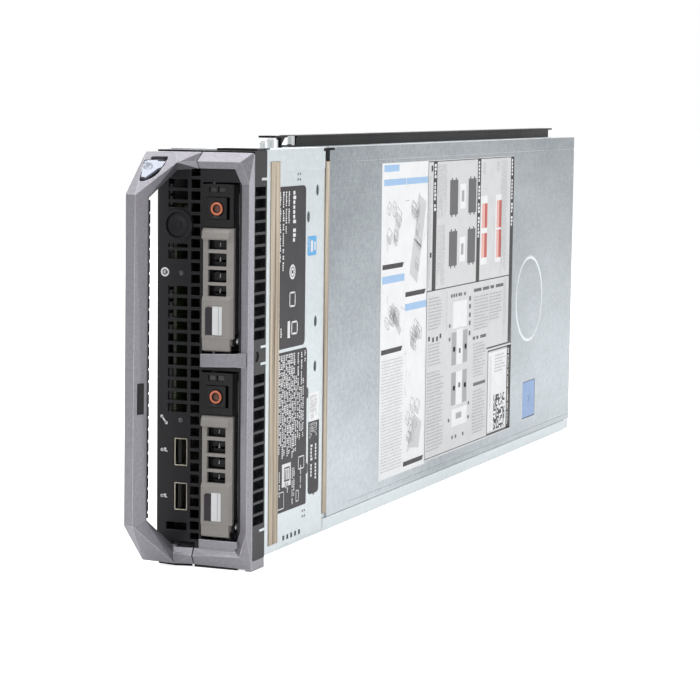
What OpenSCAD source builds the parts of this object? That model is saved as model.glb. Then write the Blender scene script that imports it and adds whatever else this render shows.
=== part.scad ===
// Half-height blade server: a narrow upright sheet-steel sled with a moulded front,
// a faceted ejector handle, two hot-swap drives, and a sliding side cover over the
// processors and memory.  x runs across the sled, y from the front to the rear, z up.

/* [Sled body] */
// Width over the steel sides
body_w = 50.2; // [48:0.1:62]
// Height of the steel body
body_h = 193; // [190:1:240]
// Length from the bezel face to the rear edge
body_l = 509.5; // [500:0.5:640]
// Height of the steel body above the front foot
foot_h = 5.3; // [4:0.1:7]
// Sheet steel thickness
sheet = 1; // [0.8:0.1:1.5]
// Running gap between parts that move past each other
run_gap = 0.3; // [0.2:0.05:0.5]
// Depth of the fixed steel section behind the bezel
front_l = 70.4; // [60:0.1:90]

/* [Bezel] */
// Depth of the moulded bezel
bezel_d = 13.9; // [12:0.1:20]
// Wall of the moulded bezel
bezel_t = 1.8; // [1.4:0.1:2.4]
// Distance between one vent row and the next
vent_pitch = 5.6; // [5:0.1:7]
// Height of one vent
vent_h = 4.1; // [2.5:0.1:4.3]
// Diameter of the power button
power_d = 11.6; // [9:0.1:13]
// How far the power button travels
power_travel = 0.8; // [0.5:0.1:1.2]

/* [Front frame] */
// How far the ridge of the frame stands in front of the bezel
ridge_p = 3; // [2:0.1:4]
// How far the inner edge of the frame stands in front of the bezel
inner_p = 0.8; // [0.6:0.1:1.5]
// Height of the outer strip of the frame's top and bottom bars
outer_strip = 4.3; // [3.5:0.1:5]
// Height of the inner strip of the frame's top and bottom bars
inner_strip = 3.4; // [2.5:0.1:4]
// Width of the frame's upright bar
bar_w = 6.2; // [5:0.1:7]
// Height of the crossbar between the drives
crossbar_h = 6.2; // [5:0.1:7.4]

/* [Ejector handle] */
// How far the handle stands in front of the bezel
handle_p = 34; // [28:0.5:40]
// Width of the handle's grip bar
grip_w = 7.7; // [6:0.1:9]
// Depth of the handle's grip bar
grip_d = 8.2; // [7:0.1:12]
// How far the top of the grip stands back from its foot
grip_lean = 1.4; // [0:0.1:3]
// Height of the slanted shoulder at each end of the grip
shoulder_h = 19; // [16:0.1:24]
// How far the handle swings open
handle_swing = 35; // [20:1:40]
// Diameter of the handle's hinge pin
hinge_d = 3; // [2.5:0.1:3.4]
// How far the release button is pressed
release_travel = 2; // [1:0.1:2.5]

/* [Drives] */
// Width of a drive carrier
carrier_w = 16.3; // [15.8:0.1:17]
// Height of a drive carrier
carrier_h = 78.6; // [77:0.1:79]
// Distance from one drive bay to the next
bay_pitch = 88.5; // [88:0.1:91]
// Length of a drive carrier behind the bezel face
carrier_l = 106; // [104:0.5:120]
// Width of a drive
drive_w = 69.85; // [60:0.05:70]
// Length of a drive
drive_l = 100; // [90:0.5:101]
// Thickness of a drive
drive_t = 14.8; // [7:0.1:15]
// Height of the grey carrier handle
lever_h = 58.3; // [54:0.1:60]
// How far the carrier handle swings open
lever_swing = 60; // [40:1:70]

/* [Cover] */
// How far the cover slides back to come free
cover_travel = 12; // [8:0.5:16]
// Depth of the cover's folded top flange
flange_w = 11; // [8:0.5:12]
// Diameter of the pressed disc
disc_d = 52; // [40:0.5:60]
// How far the cover's blue release pad is pressed
pad_travel = 1.5; // [1:0.1:2]

/* [Top rail] */
// Height of the rail
rail_h = 5.7; // [4:0.1:8]
// Distance from the sled's middle to the rail's outer face
rail_x = 10; // [6:0.5:14]
// Thickness of the rail's web
rail_web = 2.4; // [1.5:0.1:4]

/* [System board] */
// Thickness of the circuit board
board_t = 1.6; // [1.2:0.1:2.4]
// Height of the board above the side wall
standoff_h = 6.3; // [4:0.1:7]
// Number of memory modules in a bank
bank_n = 6; // [2:1:6]
// Distance between memory modules
dimm_pitch = 8.2; // [7.5:0.1:8.6]
// Length of a memory module
dimm_l = 133.35; // [130:0.05:134]
// Height of a memory module above its socket's seat
dimm_h = 30; // [25:0.1:31]
// Width of a processor's heat sink
sink_w = 78; // [70:0.5:78]
// Length of a processor's heat sink
sink_l = 96; // [80:0.5:110]
// Height of a processor's heat sink
sink_h = 27; // [20:0.5:30]
// Number of fins on a heat sink
fin_n = 23; // [12:1:26]

/* [Rear] */
// Diameter of the guide holes that take the chassis pins
guide_d = 8; // [5:0.1:9]
// Depth of the guide holes
guide_l = 18; // [10:0.5:22]

/* [Hidden] */

black = "#2b2a2d";
silver = "#a5a3a8";
steel = "#b4bbbf";
grey = "#a3a09c";
board_green = "#2f5b3c";
fine = 48;

xr = body_w / 2;
steel_z0 = foot_h;
steel_z1 = foot_h + body_h;
frame_z1 = steel_z1 - 1.3;
reach = handle_p + 1;
face_y = -(body_l - reach) / 2;
steel_y0 = bezel_d;
split_y = steel_y0 + front_l;
in_x = xr - sheet;

// Drive bays
carrier_x0 = -1.2;
carrier_x1 = carrier_x0 + carrier_w;
bay_z0 = foot_h + 9.7;
bay_z = [bay_z0, bay_z0 + bay_pitch];
lever_y = 3.5;
lever_z = 5;
button_side = 10;
lip_y = -1.6;
cage_gap = 0.5;
cage_t = 0.8;
bay_x0 = carrier_x0 - run_gap * 1.5;
bay_x1 = carrier_x1 + 2.4;
opening_z0 = bay_z0 - 0.9;
opening_z1 = bay_z[1] + carrier_h + 0.9;
crossbar_z0 = bay_z[1] - 0.5 - crossbar_h;

// Ejector handle
split_x = carrier_x0 - 1.5;
split_gap = 0.6;
split_low_x = carrier_x0 - 4.2;
hinge_y = 7.5;
hinge_z = 7.5;
knuckle_r = 3.6;
bay_top = hinge_z + knuckle_r + 0.6;
grip_x = -xr + grip_w;
shoulder_z1 = frame_z1 - shoulder_h;
shoulder_z0 = 4.5 + shoulder_h;
catch_z = frame_z1 - 4.6;

// Cover
cover_y0 = split_y + 5.9;
cover_y1 = body_l - 2;
cover_z0 = steel_z0 + 6.7;
flange_x0 = in_x - flange_w;
step = sheet + 0.1;
pad_y = body_l - 101.5;
pad_z = steel_z0 + 18.2;
pad_l = 24.5;
pad_w = 22.5;

// System board
board_x0 = -in_x + standoff_h;
board_x1 = board_x0 + board_t;
board_y0 = steel_y0 + 4;
board_y1 = body_l - 16;
board_z0 = steel_z0 + sheet + 2.5;
board_z1 = steel_z1 - sheet - 3.6;
board_mid = (board_z0 + board_z1) / 2;
cage_y1 = carrier_l + 12;
socket_l = dimm_l + 8.5;
socket_h = 9;
socket_w = 5.6;
row_gap = 7.6;
row_y = [cage_y1 + 26, cage_y1 + 26 + socket_l + row_gap];
bank_in = sink_w / 2 + 6.5;

// Places the sled with the middle of its whole length at y = 0
module at_face() {
  translate([0, face_y, 0]) children();
}

// A box given by its low and high corners
module block(lo, hi) {
  translate(lo) cube(hi - lo);
}

// A cylinder that runs along x from x0 to x1
module rod_x(r, x0, x1, y, z) {
  translate([x0, y, z]) rotate([0, 90, 0]) cylinder(r = r, h = x1 - x0, $fn = fine);
}

// A cylinder that runs along y from y0 to y1
module rod_y(r, y0, y1, x, z) {
  translate([x, y0, z]) rotate([-90, 0, 0]) cylinder(r = r, h = y1 - y0, $fn = fine);
}

// A vertical cylinder from z0 to z1
module rod_z(r, z0, z1, x, y) {
  translate([x, y, z0]) cylinder(r = r, h = z1 - z0, $fn = fine);
}

// The convex solid that wraps a list of points
module wrap(points) {
  hull() polyhedron(points, [[for (i = [0:len(points) - 1]) i]]);
}

// A slot with round ends cut through x, centred on [y, z] and h tall
module slot_x(x0, x1, y, z, w, h) {
  translate([x0, y, z]) rotate([90, 0, 90]) linear_extrude(x1 - x0)
    union() {
      for (s = [-1, 1]) translate([0, s * (h - w) / 2]) circle(d = w, $fn = 24);
      square([w, h - w], center = true);
    }
}

// ---------------------------------------------------------------- sheet-steel body

// Heights of the side slots in the bezel, in two groups
slot_group = 13;
slots = [for (g = [0, 1], i = [0:slot_group - 1])
  foot_h + (g == 0 ? 16.5 : 104.6) + i * vent_pitch];

// Places of the small oval holes in the fixed side
oval_holes = [[50.3, 159.4], [61.3, 172.2], [60.2, 107.4], [60.2, 85], [50.7, 72.6],
  [50.7, 35], [60, 23]];

// Heights above the foot, length and thickness of the tabs that hold the bezel
tab_zs = [13, 92.6, 100.6, body_h - 13.6];
tab_l = 5.8;
tab_t = 0.5;

module side_holes() {
  for (p = oval_holes)
    slot_x(xr - 3, xr + 1, steel_y0 + p[0], foot_h + p[1], 2, 4.6);
  for (i = [0:4])
    block([xr - 3, steel_y0 + 22 + i * 4.8, foot_h + 3.4],
      [xr + 1, steel_y0 + 24.4 + i * 4.8, foot_h + 5.8]);
  for (c = [[38.5, body_h - 13.6], [47.5, 13]], a = [-1.3, 1.3], b = [-1.3, 1.3])
    rod_x(0.75, xr - 3, xr + 1, steel_y0 + c[0] + a, foot_h + c[1] + b);
}

module hook_slots(extra) {
  for (y = hook_ys)
    block([in_x - sheet - 1, y - 0.5, cover_z0 + 1.4],
      [in_x - 0.1, y + 8.5 + extra, cover_z0 + 5.6]);
}
hook_ys = [cover_y0 + 60, (cover_y0 + cover_y1) / 2, cover_y1 - 70];

module chassis_tray() color(steel) at_face() {
  difference() {
    union() {
      // closed side, floor and roof
      block([-xr, steel_y0, steel_z0], [-in_x, body_l, steel_z1]);
      block([-in_x, steel_y0, steel_z0], [in_x, body_l, steel_z0 + sheet]);
      block([-in_x, steel_y0, steel_z1 - sheet], [flange_x0 - 0.3, body_l, steel_z1]);
      block([flange_x0 - 0.3, steel_y0, steel_z1 - sheet], [in_x, split_y + 4.5, steel_z1]);
      // roof stepped down under the cover's flange
      block([flange_x0 - 0.3 - sheet, split_y + 4.5, steel_z1 - sheet - step],
        [in_x - 0.1, body_l, steel_z1 - step]);
      block([flange_x0 - 0.3 - sheet, split_y + 3.5, steel_z1 - sheet - step],
        [flange_x0 - 0.3, body_l, steel_z1]);
      block([flange_x0 - 0.3 - sheet, split_y + 3.5, steel_z1 - sheet - step],
        [in_x, split_y + 4.5, steel_z1]);
      // fixed section of the open side
      block([in_x, steel_y0, steel_z0], [xr, split_y, steel_z1]);
      // seat for the cover's seal
      block([in_x - sheet, split_y - 3, steel_z0 + sheet],
        [in_x, cover_y0 + 4, steel_z1 - sheet]);
      // lower lip and the ledge behind the cover's lower edge
      block([in_x, split_y, steel_z0], [xr, body_l - 12, cover_z0 - 0.3]);
      block([in_x - sheet - 0.1, cover_y0 + 4, steel_z0 + sheet],
        [in_x - 0.1, body_l, cover_z0 + 7]);
    }
    side_holes();
    hook_slots(cover_travel);
    for (y = rail_screw_ys)
      rod_z(1.7, steel_z1 - 3, steel_z1 + 1, rail_x - 6, y);
    // shallow troughs that the front seals sit in
    for (s = [-1, 1])
      block([min(s * (xr - 0.4), s * (xr + 1)), steel_y0 + 3.9, steel_z0 + 3.7],
        [max(s * (xr - 0.4), s * (xr + 1)), steel_y0 + 14.9, steel_z1 - 5.6]);
    // raised top step of the fixed side
    block([xr - 0.25, steel_y0 + 15.5, steel_z0 + 1],
      [xr + 1, split_y + 1, steel_z1 - 10.2]);
    for (z = [24, body_h / 2, body_h - 24])
      rod_x(1.6, -xr - 1, -in_x + 1, split_y + 60, foot_h + z);
  }
  // tabs that snap into the bezel
  for (z = tab_zs)
    block([xr - tab_t, steel_y0 - tab_l, foot_h + z - 0.6],
      [xr, steel_y0 + 2, foot_h + z + 0.6]);
}

// -------------------------------------------------------------------- moulded bezel

power_x = -14.5;
power_z = frame_z1 - 34.5;
led_x = -12.8;
led_z = [foot_h + 64.5, foot_h + 134.5];
usb_x = [-16, -9.3];
usb_z = [foot_h + 27.9, foot_h + 49.3];
usb_w = 13.2;
vent_l = [-19.5, -9.3];
vent_r = [-7.6, bay_x0 - 1.2];
vent_top = frame_z1 - 9.3;
vent_rows = floor((vent_top - foot_h - 8) / vent_pitch);
left_rows = [for (k = [1:vent_rows]) let (z = vent_top - k * vent_pitch)
  if (z > foot_h + 70 && abs(z - led_z[1]) > 4.5 && abs(z - power_z) > 9.9) z];

module vent(x, z, h) {
  block([x[0], -1, z - h / 2], [x[1], bezel_t + 0.5, z + h / 2]);
}

module bezel_openings() {
  for (z = left_rows) vent(vent_l, z, vent_h);
  for (k = [0:vent_rows]) vent(vent_r, vent_top - k * vent_pitch, vent_h);
  vent(vent_l, power_z + 9.4, 2.1);
  vent(vent_l, power_z - 9.7, 1.9);
  for (s = [-1, 1], z = slots)
    block([s * xr - bezel_t - 0.5, 0.4, z - 0.2], [s * xr + bezel_t + 0.5, bezel_d - 1.3, z + vent_h]);
  // two drive bays
  for (z = bay_z)
    block([bay_x0, -1, z - 1.4], [bay_x1, bezel_t + 1, z + carrier_h + 0.9]);
  // slot for the handle's catch
  block([catch_x - 0.5, -1, catch_z - 2.3], [catch_x + catch_w + 2.9, bezel_t + 1, catch_z + 2.5]);
  // power button, lamps, front ports and a pull-tab slot
  rod_y(power_d / 2 + 0.25, -2, bezel_t + 1, power_x, power_z);
  for (z = led_z) rod_y(1.25, -1, bezel_t + 1, led_x, z);
  for (z = usb_z)
    block([usb_x[0] - 0.15, -1, z - usb_w / 2 - 0.2], [usb_x[1] + 0.15, bezel_t + 1, z + usb_w / 2 + 0.2]);
  block([-20.2, -1, foot_h + 11.6], [vent_l[1], bezel_t + 1, foot_h + 15.4]);
  // seats for the steel tabs, on the open side
  for (z = tab_zs)
    block([xr - tab_t - 0.1, bezel_d - tab_l - 0.2, foot_h + z - 0.8],
      [xr + 1, bezel_d + 1, foot_h + z + 0.8]);
}

module bezel_body() color(black) at_face() {
  difference() {
    block([-xr, 0, 0], [xr, bezel_d, frame_z1 + 0.8]);
    block([-xr + bezel_t, bezel_t, foot_h + 1], [xr - bezel_t, bezel_d + 1, frame_z1 - 1]);
    // hinge bay of the handle
    block([-xr - 1, -1, -1], [split_low_x + 0.4, bezel_d - 1.5, bay_top]);
    // room for the frame's foot
    block([foot_x0 - 0.2, -1, -1], [xr + 1, bezel_d + 1, foot_h - 0.4]);
    bezel_openings();
    rod_x(2.6, xr - 0.6, xr + 1, 3.4, foot_h + 96.5);
  }
  difference() {
    // raised ring round the power button
    rod_y(power_d / 2 + 1.9, -0.8, 0, power_x, power_z);
    rod_y(power_d / 2 + 0.25, -2, 1, power_x, power_z);
  }
  difference() {
    // roof of the hinge bay, its floor and the two lugs that carry the pin
    union() {
      block([-xr, 0, bay_top], [split_low_x + 0.4, bezel_d, bay_top + 1.4]);
      block([split_low_x + 0.4, 0, 0], [split_low_x + 1.9, bezel_d, bay_top + 1.4]);
      block([-xr, hinge_y - 1.9, 0], [split_low_x + 0.5, bezel_d, 0.9]);
      for (x = lug_x) hull() {
        rod_x(knuckle_r, x[0], x[1], hinge_y, hinge_z);
        block([x[0], bezel_d - 1.6, hinge_z - knuckle_r], [x[1], bezel_d - 1.4, hinge_z + knuckle_r]);
      }
    }
    rod_x(hinge_d / 2 + 0.05, -xr + 0.8, split_low_x + 0.4, hinge_y, hinge_z);
    block([cam_x - 0.4, 0, -1], [cam_x + cam_t + 0.4, bezel_d - 2.2, 1.5]);
  }
  // thin tongue that laps the steel roof
  block([3.7, 4, frame_z1 + 0.5], [xr - 0.9, steel_y0, steel_z1 + 0.6]);
  block([3.7, steel_y0 - 1, steel_z1], [xr - 0.9, steel_y0 + 5, steel_z1 + 0.6]);
  // posts that hold the front panel board
  for (z = [led_z[0] + 8, led_z[1] + 8, foot_h + 20])
    block([board_x0 - 2.4, bezel_t - 0.1, z - 2], [board_x0, 11, z + 2]);
}
lug_x = [[-xr, -xr + 1.9], [split_low_x - 1.6, split_low_x + 0.5]];
cam_x = -xr + 7;
cam_t = 3;
foot_x0 = xr - 7.6;
corner_x = 3;

// One length of the frame: the faceted solid between two cross-sections
module facet_bar(a, b) {
  wrap(concat(a, b));
}

// A cross-section from its outer, ridge and inner points; back is its rear face
function rib(outer, ridge, inner, back) = [
  [outer[0], back, outer[2]], outer, ridge, inner, [inner[0], back, inner[2]]];

ridge_z = frame_z1 - outer_strip;
inner_z = ridge_z - inner_strip;
low_z = 1.3;
low_ridge_z = foot_h + 0.4;
low_inner_z = foot_h + 3.9;
bar_in_x = xr - bar_w;
edge_p = 0.6;

module front_frame() color(silver) at_face() {
  top_split = rib([split_x + 1.3, -edge_p, frame_z1], [split_x - 0.5, -ridge_p, ridge_z],
    [split_x, -inner_p, inner_z], 0);
  top_corner = rib([xr - 0.8, -edge_p, frame_z1], [bar_in_x, -ridge_p, ridge_z],
    [bar_in_x - 3.6, -inner_p, inner_z], 0);
  top_side = rib([xr, -edge_p, frame_z1 - 0.8], [xr - 1.4, -ridge_p, ridge_z - 10],
    [bar_in_x, -inner_p, inner_z - 7.4], 0);
  top_end = rib([xr, -edge_p, ridge_z - 10], [xr - 1.4, -ridge_p, ridge_z - 10],
    [bar_in_x, -inner_p, inner_z - 7.4], 0);
  low_end = rib([xr, -edge_p, foot_h + 13.6], [xr - 1.8, -ridge_p, foot_h + 13.6],
    [bar_in_x + 0.2, -inner_p, foot_h + 13.4], 0);
  low_side = rib([xr, -edge_p, 1], [xr - 5.4, -ridge_p, foot_h + 1.6],
    [bar_in_x - 2.6, -inner_p, foot_h + 4.1], 0);
  low_corner = rib([corner_x, -edge_p, low_z], [corner_x, -ridge_p, low_ridge_z + 0.7],
    [corner_x, -inner_p, low_inner_z], 0);
  low_split = rib([split_low_x + split_gap, -edge_p, low_z],
    [split_low_x + split_gap, -ridge_p, low_ridge_z],
    [split_low_x + split_gap, -inner_p, low_inner_z], 0);
  facet_bar(top_split, top_corner);
  facet_bar(top_corner, concat(top_side, top_end));
  facet_bar(top_end, low_end);
  facet_bar(low_end, low_side);
  facet_bar(low_side, concat(low_corner, low_split));
  // crossbar between the drives, falling slightly away from the upright to its free end
  wrap([for (x = [carrier_x0, bar_in_x + 0.5], y = [0.4 - ridge_p, 0], h = [0, crossbar_h])
    [x, y, crossbar_z0 + h + (x < 0 ? -0.7 : 0.2)]]);
  wrap([for (x = [bar_in_x - 0.8, bar_in_x + 3.4], z = [crossbar_z0, crossbar_z0 + crossbar_h + 0.5])
    for (y = [x < bar_in_x ? 0.4 - ridge_p : -ridge_p - 0.1, 0]) [x, y, z]]);
  // ledge under the lower drive
  block([carrier_x0 - 0.7, -ridge_p + 0.9, foot_h + 5.5], [bar_in_x - 0.9, 0, bay_z0 - 1.2]);
  block([split_x + 0.6, -ridge_p + 1.6, foot_h + 3.4], [bar_in_x - 2.2, 0, foot_h + 5.6]);
  // foot that turns back under the bezel's corner
  block([foot_x0, 0, 0.6], [xr - 0.6, bezel_d - 0.3, foot_h - 0.6]);
  block([xr - 3.4, -edge_p, 0], [xr, bezel_d - 0.3, foot_h - 0.6]);
}

// ------------------------------------------------------------------ ejector handle

// Front of the grip's outer edge at height z: the grip leans back a little to its top
function grip_y(z) =
  -handle_p + grip_lean * (z - shoulder_z0) / (shoulder_z1 - shoulder_z0);

// Distance of the grip's ridge from its outer face at height z
function grip_ridge(z) = 4.9 + 0.4 * (z - shoulder_z0) / (shoulder_z1 - shoulder_z0);

// Mitred cross-section at an end of the grip; s is 1 at the top and -1 at the foot
function grip_rib(z, s) = rib([-xr, grip_y(z), z], [-xr + grip_ridge(z), grip_y(z) - 1, z - 0.3 * s],
  [grip_x, grip_y(z) + grip_d - 1, z - 2 * s], grip_y(z) + grip_d);

// Cross-sections of the handle, from the top split down to the bottom split
function handle_ribs(back) = [
  rib([split_x + 1.3 - split_gap, -edge_p, frame_z1], [split_x - 0.5 - split_gap, -ridge_p, ridge_z],
    [split_x - split_gap, -inner_p, inner_z], back),
  rib([-xr + 11, -ridge_p, frame_z1], [-xr + 13.6, -ridge_p - 4.4, ridge_z - 0.6],
    [-xr + 10.4, -inner_p - 0.4, inner_z - 1], back),
  grip_rib(shoulder_z1, 1),
  grip_rib(shoulder_z0, -1),
  rib([-xr + 11, -ridge_p, low_z], [-xr + 10.8, -ridge_p - 1, low_ridge_z + 0.8],
    [-xr + 9.3, -inner_p - 0.4, low_inner_z - 0.2], back),
  rib([split_low_x, -edge_p, low_z], [split_low_x, -ridge_p, low_ridge_z],
    [split_low_x, -inner_p, low_inner_z], back)
];

// The upper shoulder's broad facet, from its outer corner along its two long edges
shoulder_top = [-xr, -handle_p * 0.36, frame_z1];
facet_down = handle_ribs(0)[2][2] - shoulder_top;
facet_in = handle_ribs(0)[1][1] - shoulder_top;
facet_out = cross(facet_down, facet_in) / norm(cross(facet_down, facet_in));
button_at = shoulder_top + 0.376 * facet_down + 0.229 * facet_in;
button_tilt = [0, acos(facet_out[2]), atan2(facet_out[1], facet_out[0])];

module at_button() {
  translate(button_at) rotate(button_tilt) children();
}

// Outlines on the facet: the button, the well it sits in, and the slot above it
button_outline = [[-4.2, -1.3], [-4.7, 0.7], [-4.8, 5], [-4.7, 8.9], [-1.1, 6.4], [1.1, 3.4],
  [3.5, 0.7], [6.3, -2.8], [5.8, -4.7], [-0.8, -2.7]];
well_outline = [[-4.9, -1.4], [-5.3, 1.5], [-5.4, 9.7], [-1.4, 7.5], [0.1, 6.3], [2.6, 4.6], [5.4, 2],
  [7.2, -0.6], [8.6, -3.7], [8.9, -5.4], [8.2, -5.9], [6.1, -5.3], [-0.6, -3.1]];
slot_outline = [[-7.2, 2.5], [-7.3, 10.3], [-5.2, 9.7], [-5.2, 1.5]];
dimple_at = [-0.9, -0.5];
dimple_r = 2.5;
dimple_d = 1.4;
well_d = 4;

// Latch block at the top of the handle: left edge, width
catch_x = -xr + 2.4;
catch_w = 4.6;

module handle_bar() color(silver) at_face() {
  r = handle_ribs(-run_gap);
  difference() {
    union() {
      facet_bar(r[0], r[1]);
      facet_bar(r[1], concat(r[2], [shoulder_top, [-xr, -run_gap, frame_z1],
        [-xr, -run_gap, frame_z1 - 9], [grip_x + 1, -run_gap, frame_z1 - 8.7]]));
      facet_bar(r[2], r[3]);
      facet_bar(r[3], concat(r[4], [[-xr, -handle_p * 0.44, 4.2], [-xr, -run_gap, low_z],
        [-xr, -run_gap, low_inner_z - 0.2], [grip_x + 1, -run_gap, low_inner_z]]));
      facet_bar(r[4], r[5]);
      // hinge knuckle and its arm
      rod_x(knuckle_r, lug_x[0][1] + 0.2, lug_x[1][0] - 0.2, hinge_y, hinge_z);
      block([lug_x[0][1] + 0.2, -1, hinge_z - knuckle_r],
        [lug_x[1][0] - 0.2, hinge_y, low_inner_z - 0.4]);
    }
    rod_x(hinge_d / 2 + 0.06, -xr, split_low_x + 1, hinge_y, hinge_z);
    // slot for the cam in the knuckle
    block([cam_x - 0.15, 1.2, -1], [cam_x + cam_t + 0.15, bezel_d, bay_top]);
    // well of the release button and the finger slot above it
    at_button() translate([0, 0, -well_d]) linear_extrude(12) polygon(well_outline);
    at_button() translate([0, 0, -2.4]) linear_extrude(12) polygon(slot_outline);
    // pocket for the catch
    block([catch_x - 0.4, -3.5, catch_z - 2.1], [catch_x + catch_w + 2.5, 1, catch_z + 2.1]);
  }
}

liner_pitch = 5.6;

// Four corners of the liner's cross-section at height z
function liner_rib(z) = [for (x = [-xr + 0.5, grip_x + 0.3], y = [0.03, 1])
  [x, grip_y(z) + grip_d + y, z]];

module handle_grip_liner() color("#1f1e20") at_face() {
  z0 = shoulder_z0 + 3;
  z1 = shoulder_z1 - 3;
  // dark edge under the handle's lower bar
  translate([0, 0, low_z - 1]) linear_extrude(0.98)
    polygon([[-xr + 1.5, -0.35], [-xr + 1.5, -0.9], [-xr + 11, -2.6],
      [split_low_x - 0.4, -edge_p], [split_low_x - 0.4, -0.35]]);
  difference() {
    facet_bar(liner_rib(z0), liner_rib(z1));
    // notches along the inner edge
    for (k = [0:floor((z1 - z0) / liner_pitch) - 1])
      translate([grip_x + 0.3, grip_y(z0 + k * liner_pitch) + grip_d + 1, z0 + k * liner_pitch + 2])
        block([-1.2, -0.7, 0], [1, 1, 1.2]);
  }
}

badge_z = foot_h + 70.5;
badge_h = 14.5;
badge_w = 3.9;

module handle_badge() color("#17171a") at_face() {
  // bare plate on the inner face of the grip
  ridge_x = grip_ridge(badge_z + badge_h / 2);
  translate([-xr + ridge_x, grip_y(badge_z) - 1, badge_z])
    rotate([-atan2(grip_lean, shoulder_z1 - shoulder_z0), 0, 0])
      rotate([0, 0, atan2(grip_d, grip_w - ridge_x)])
        block([2.6, -0.4, 0], [2.6 + badge_w, -0.1, badge_h]);
}

module handle_hinge_pin() color("#8d9094") at_face() {
  rod_x(hinge_d / 2, -xr + 1, split_low_x + 0.3, hinge_y, hinge_z);
}

module ejector_cam() color("#84878b") at_face() {
  difference() {
    union() {
      rod_x(knuckle_r + 0.3, cam_x, cam_x + cam_t, hinge_y, hinge_z);
      // lobe that levers against the enclosure's edge
      hull() {
        rod_x(2.4, cam_x, cam_x + cam_t, hinge_y, hinge_z - 1);
        rod_x(1.2, cam_x, cam_x + cam_t, hinge_y - 1, hinge_z - 5.4);
      }
      // tail riveted into the handle
      block([cam_x, 1.4, hinge_z - 2], [cam_x + cam_t, hinge_y, hinge_z + 2]);
    }
    rod_x(hinge_d / 2 + 0.06, cam_x - 1, cam_x + cam_t + 1, hinge_y, hinge_z);
  }
}

module release_button() color("#8c93a3") at_face() at_button() {
  difference() {
    translate([0, 0, -1.9]) linear_extrude(2) polygon(button_outline);
    // thumb dimple
    translate([dimple_at[0], dimple_at[1], 0.1 - dimple_d + ball_r]) sphere(r = ball_r, $fn = fine);
    // stepped end beside the dimple
    block([-6, 4.9, -0.7], [4, 12, 1]);
  }
}
ball_r = (dimple_r * dimple_r + dimple_d * dimple_d) / (2 * dimple_d);

module handle_catch() color("#77797d") at_face() {
  block([catch_x, -3.2, catch_z - 1.7], [catch_x + catch_w, -0.5, catch_z + 1.7]);
  block([catch_x + 0.6, -0.6, catch_z - 1.2], [catch_x + catch_w - 0.6, 6, catch_z + 1.2]);
}

module power_button() color(black) at_face() {
  difference() {
    union() {
      rod_y(power_d / 2, 0.4, 3.4, power_x, power_z);
      rod_y(power_d / 2 + 1.2, 2.2 + power_travel, 4.4, power_x, power_z);
      rod_y(2, 4.3, 6.4, power_x, power_z);
    }
    // dished face with a centre pip
    translate([power_x, -15, power_z]) sphere(r = 16, $fn = 96);
  }
  rod_y(1.6, 0.6, 1.6, power_x, power_z);
}

module status_light_pipes() color("#d7dde0") at_face() {
  for (z = led_z) rod_y(1.15, 0.2, 7, led_x, z);
  for (z = led_z) block([board_x1, 4.5, z - 1.2], [led_x + 0.2, 7, z + 1.2]);
}

module front_usb_ports() color("#b9bcc0") at_face() {
  for (z = usb_z)
    difference() {
      block([usb_x[0], 0.4, z - usb_w / 2], [usb_x[1], 14.2, z + usb_w / 2]);
      block([usb_x[0] + 0.4, -1, z - usb_w / 2 + 0.4], [usb_x[1] - 0.4, 12.6, z + usb_w / 2 - 0.4]);
    }
}

module usb_tongues() color("#17171a") at_face() {
  for (z = usb_z)
    block([usb_x[0] + 1.2, 1.8, z - 5.6], [usb_x[0] + 3, 12.6, z + 5.6]);
}

module front_panel_board() color(board_green) at_face() {
  difference() {
    block([board_x0, bezel_t + 0.6, foot_h + 16], [board_x1, board_y0 - 0.5, power_z + 12]);
    for (z = [foot_h + 22, power_z + 8])
      rod_x(1.4, board_x0 - 1, board_x1 + 1, 12, z);
    // notch that clears the power button
    block([board_x0 - 1, 0, power_z - 9], [board_x1 + 1, 7.2, power_z + 20]);
  }
  // switch behind the power button
  block([board_x1, 7.4, power_z - 3], [power_x + 3, 12, power_z + 3]);
}

// ------------------------------------------------------------------------- drives

cage_x0 = bay_x0 - cage_t - 0.3;
cage_x1 = carrier_x1 + 1 + cage_t;
cage_zs = [bay_z0 - 1.3, bay_z0 + carrier_h + 4.4, bay_z[1] + carrier_h + 0.5];

module drive_cage() color(steel) at_face() {
  y0 = steel_y0 + 0.3;
  difference() {
    union() {
      block([cage_x0, y0, cage_zs[0]], [cage_x0 + cage_t, cage_y1, cage_zs[2] + cage_t]);
      for (z = cage_zs) block([cage_x0, y0, z], [cage_x1, cage_y1, z + cage_t]);
      block([cage_x1 - cage_t, y0, cage_zs[0]], [cage_x1, cage_y1, cage_zs[2] + cage_t]);
      // feet to the floor and the roof
      for (y = [y0 + 8, cage_y1 - 24]) {
        block([cage_x0 + 3, y, foot_h + sheet], [cage_x0 + 4, y + 12, cage_zs[0] + 0.1]);
        block([cage_x0 + 3, y, cage_zs[2]], [cage_x0 + 4, y + 12, steel_z1 - sheet]);
      }
    }
    // windows in both sides
    for (z = bay_z, y = [y0 + 14, y0 + 58])
      block([cage_x0 - 1, y, z + 12], [cage_x1 + 1, y + 32, z + carrier_h - 12]);
  }
}

module drive_backplane() color(board_green) at_face() {
  difference() {
    block([board_x1, cage_y1 + 0.1, board_z0 + 6], [cage_x1, cage_y1 + 1.7, board_z1 - 2]);
    // air slots between the bays
    for (z = bay_z, k = [0:2])
      block([board_x1 + 3, cage_y1 - 1, z + 44 + k * 9], [cage_x1 - 3, cage_y1 + 3, z + 49 + k * 9]);
  }
  // sockets that the drives plug into
  for (z = bay_z)
    block([carrier_x0 + 2.6, drive_y1 + 0.4, z + 18], [carrier_x0 + 8.4, cage_y1 + 0.1, z + 52]);
}

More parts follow.
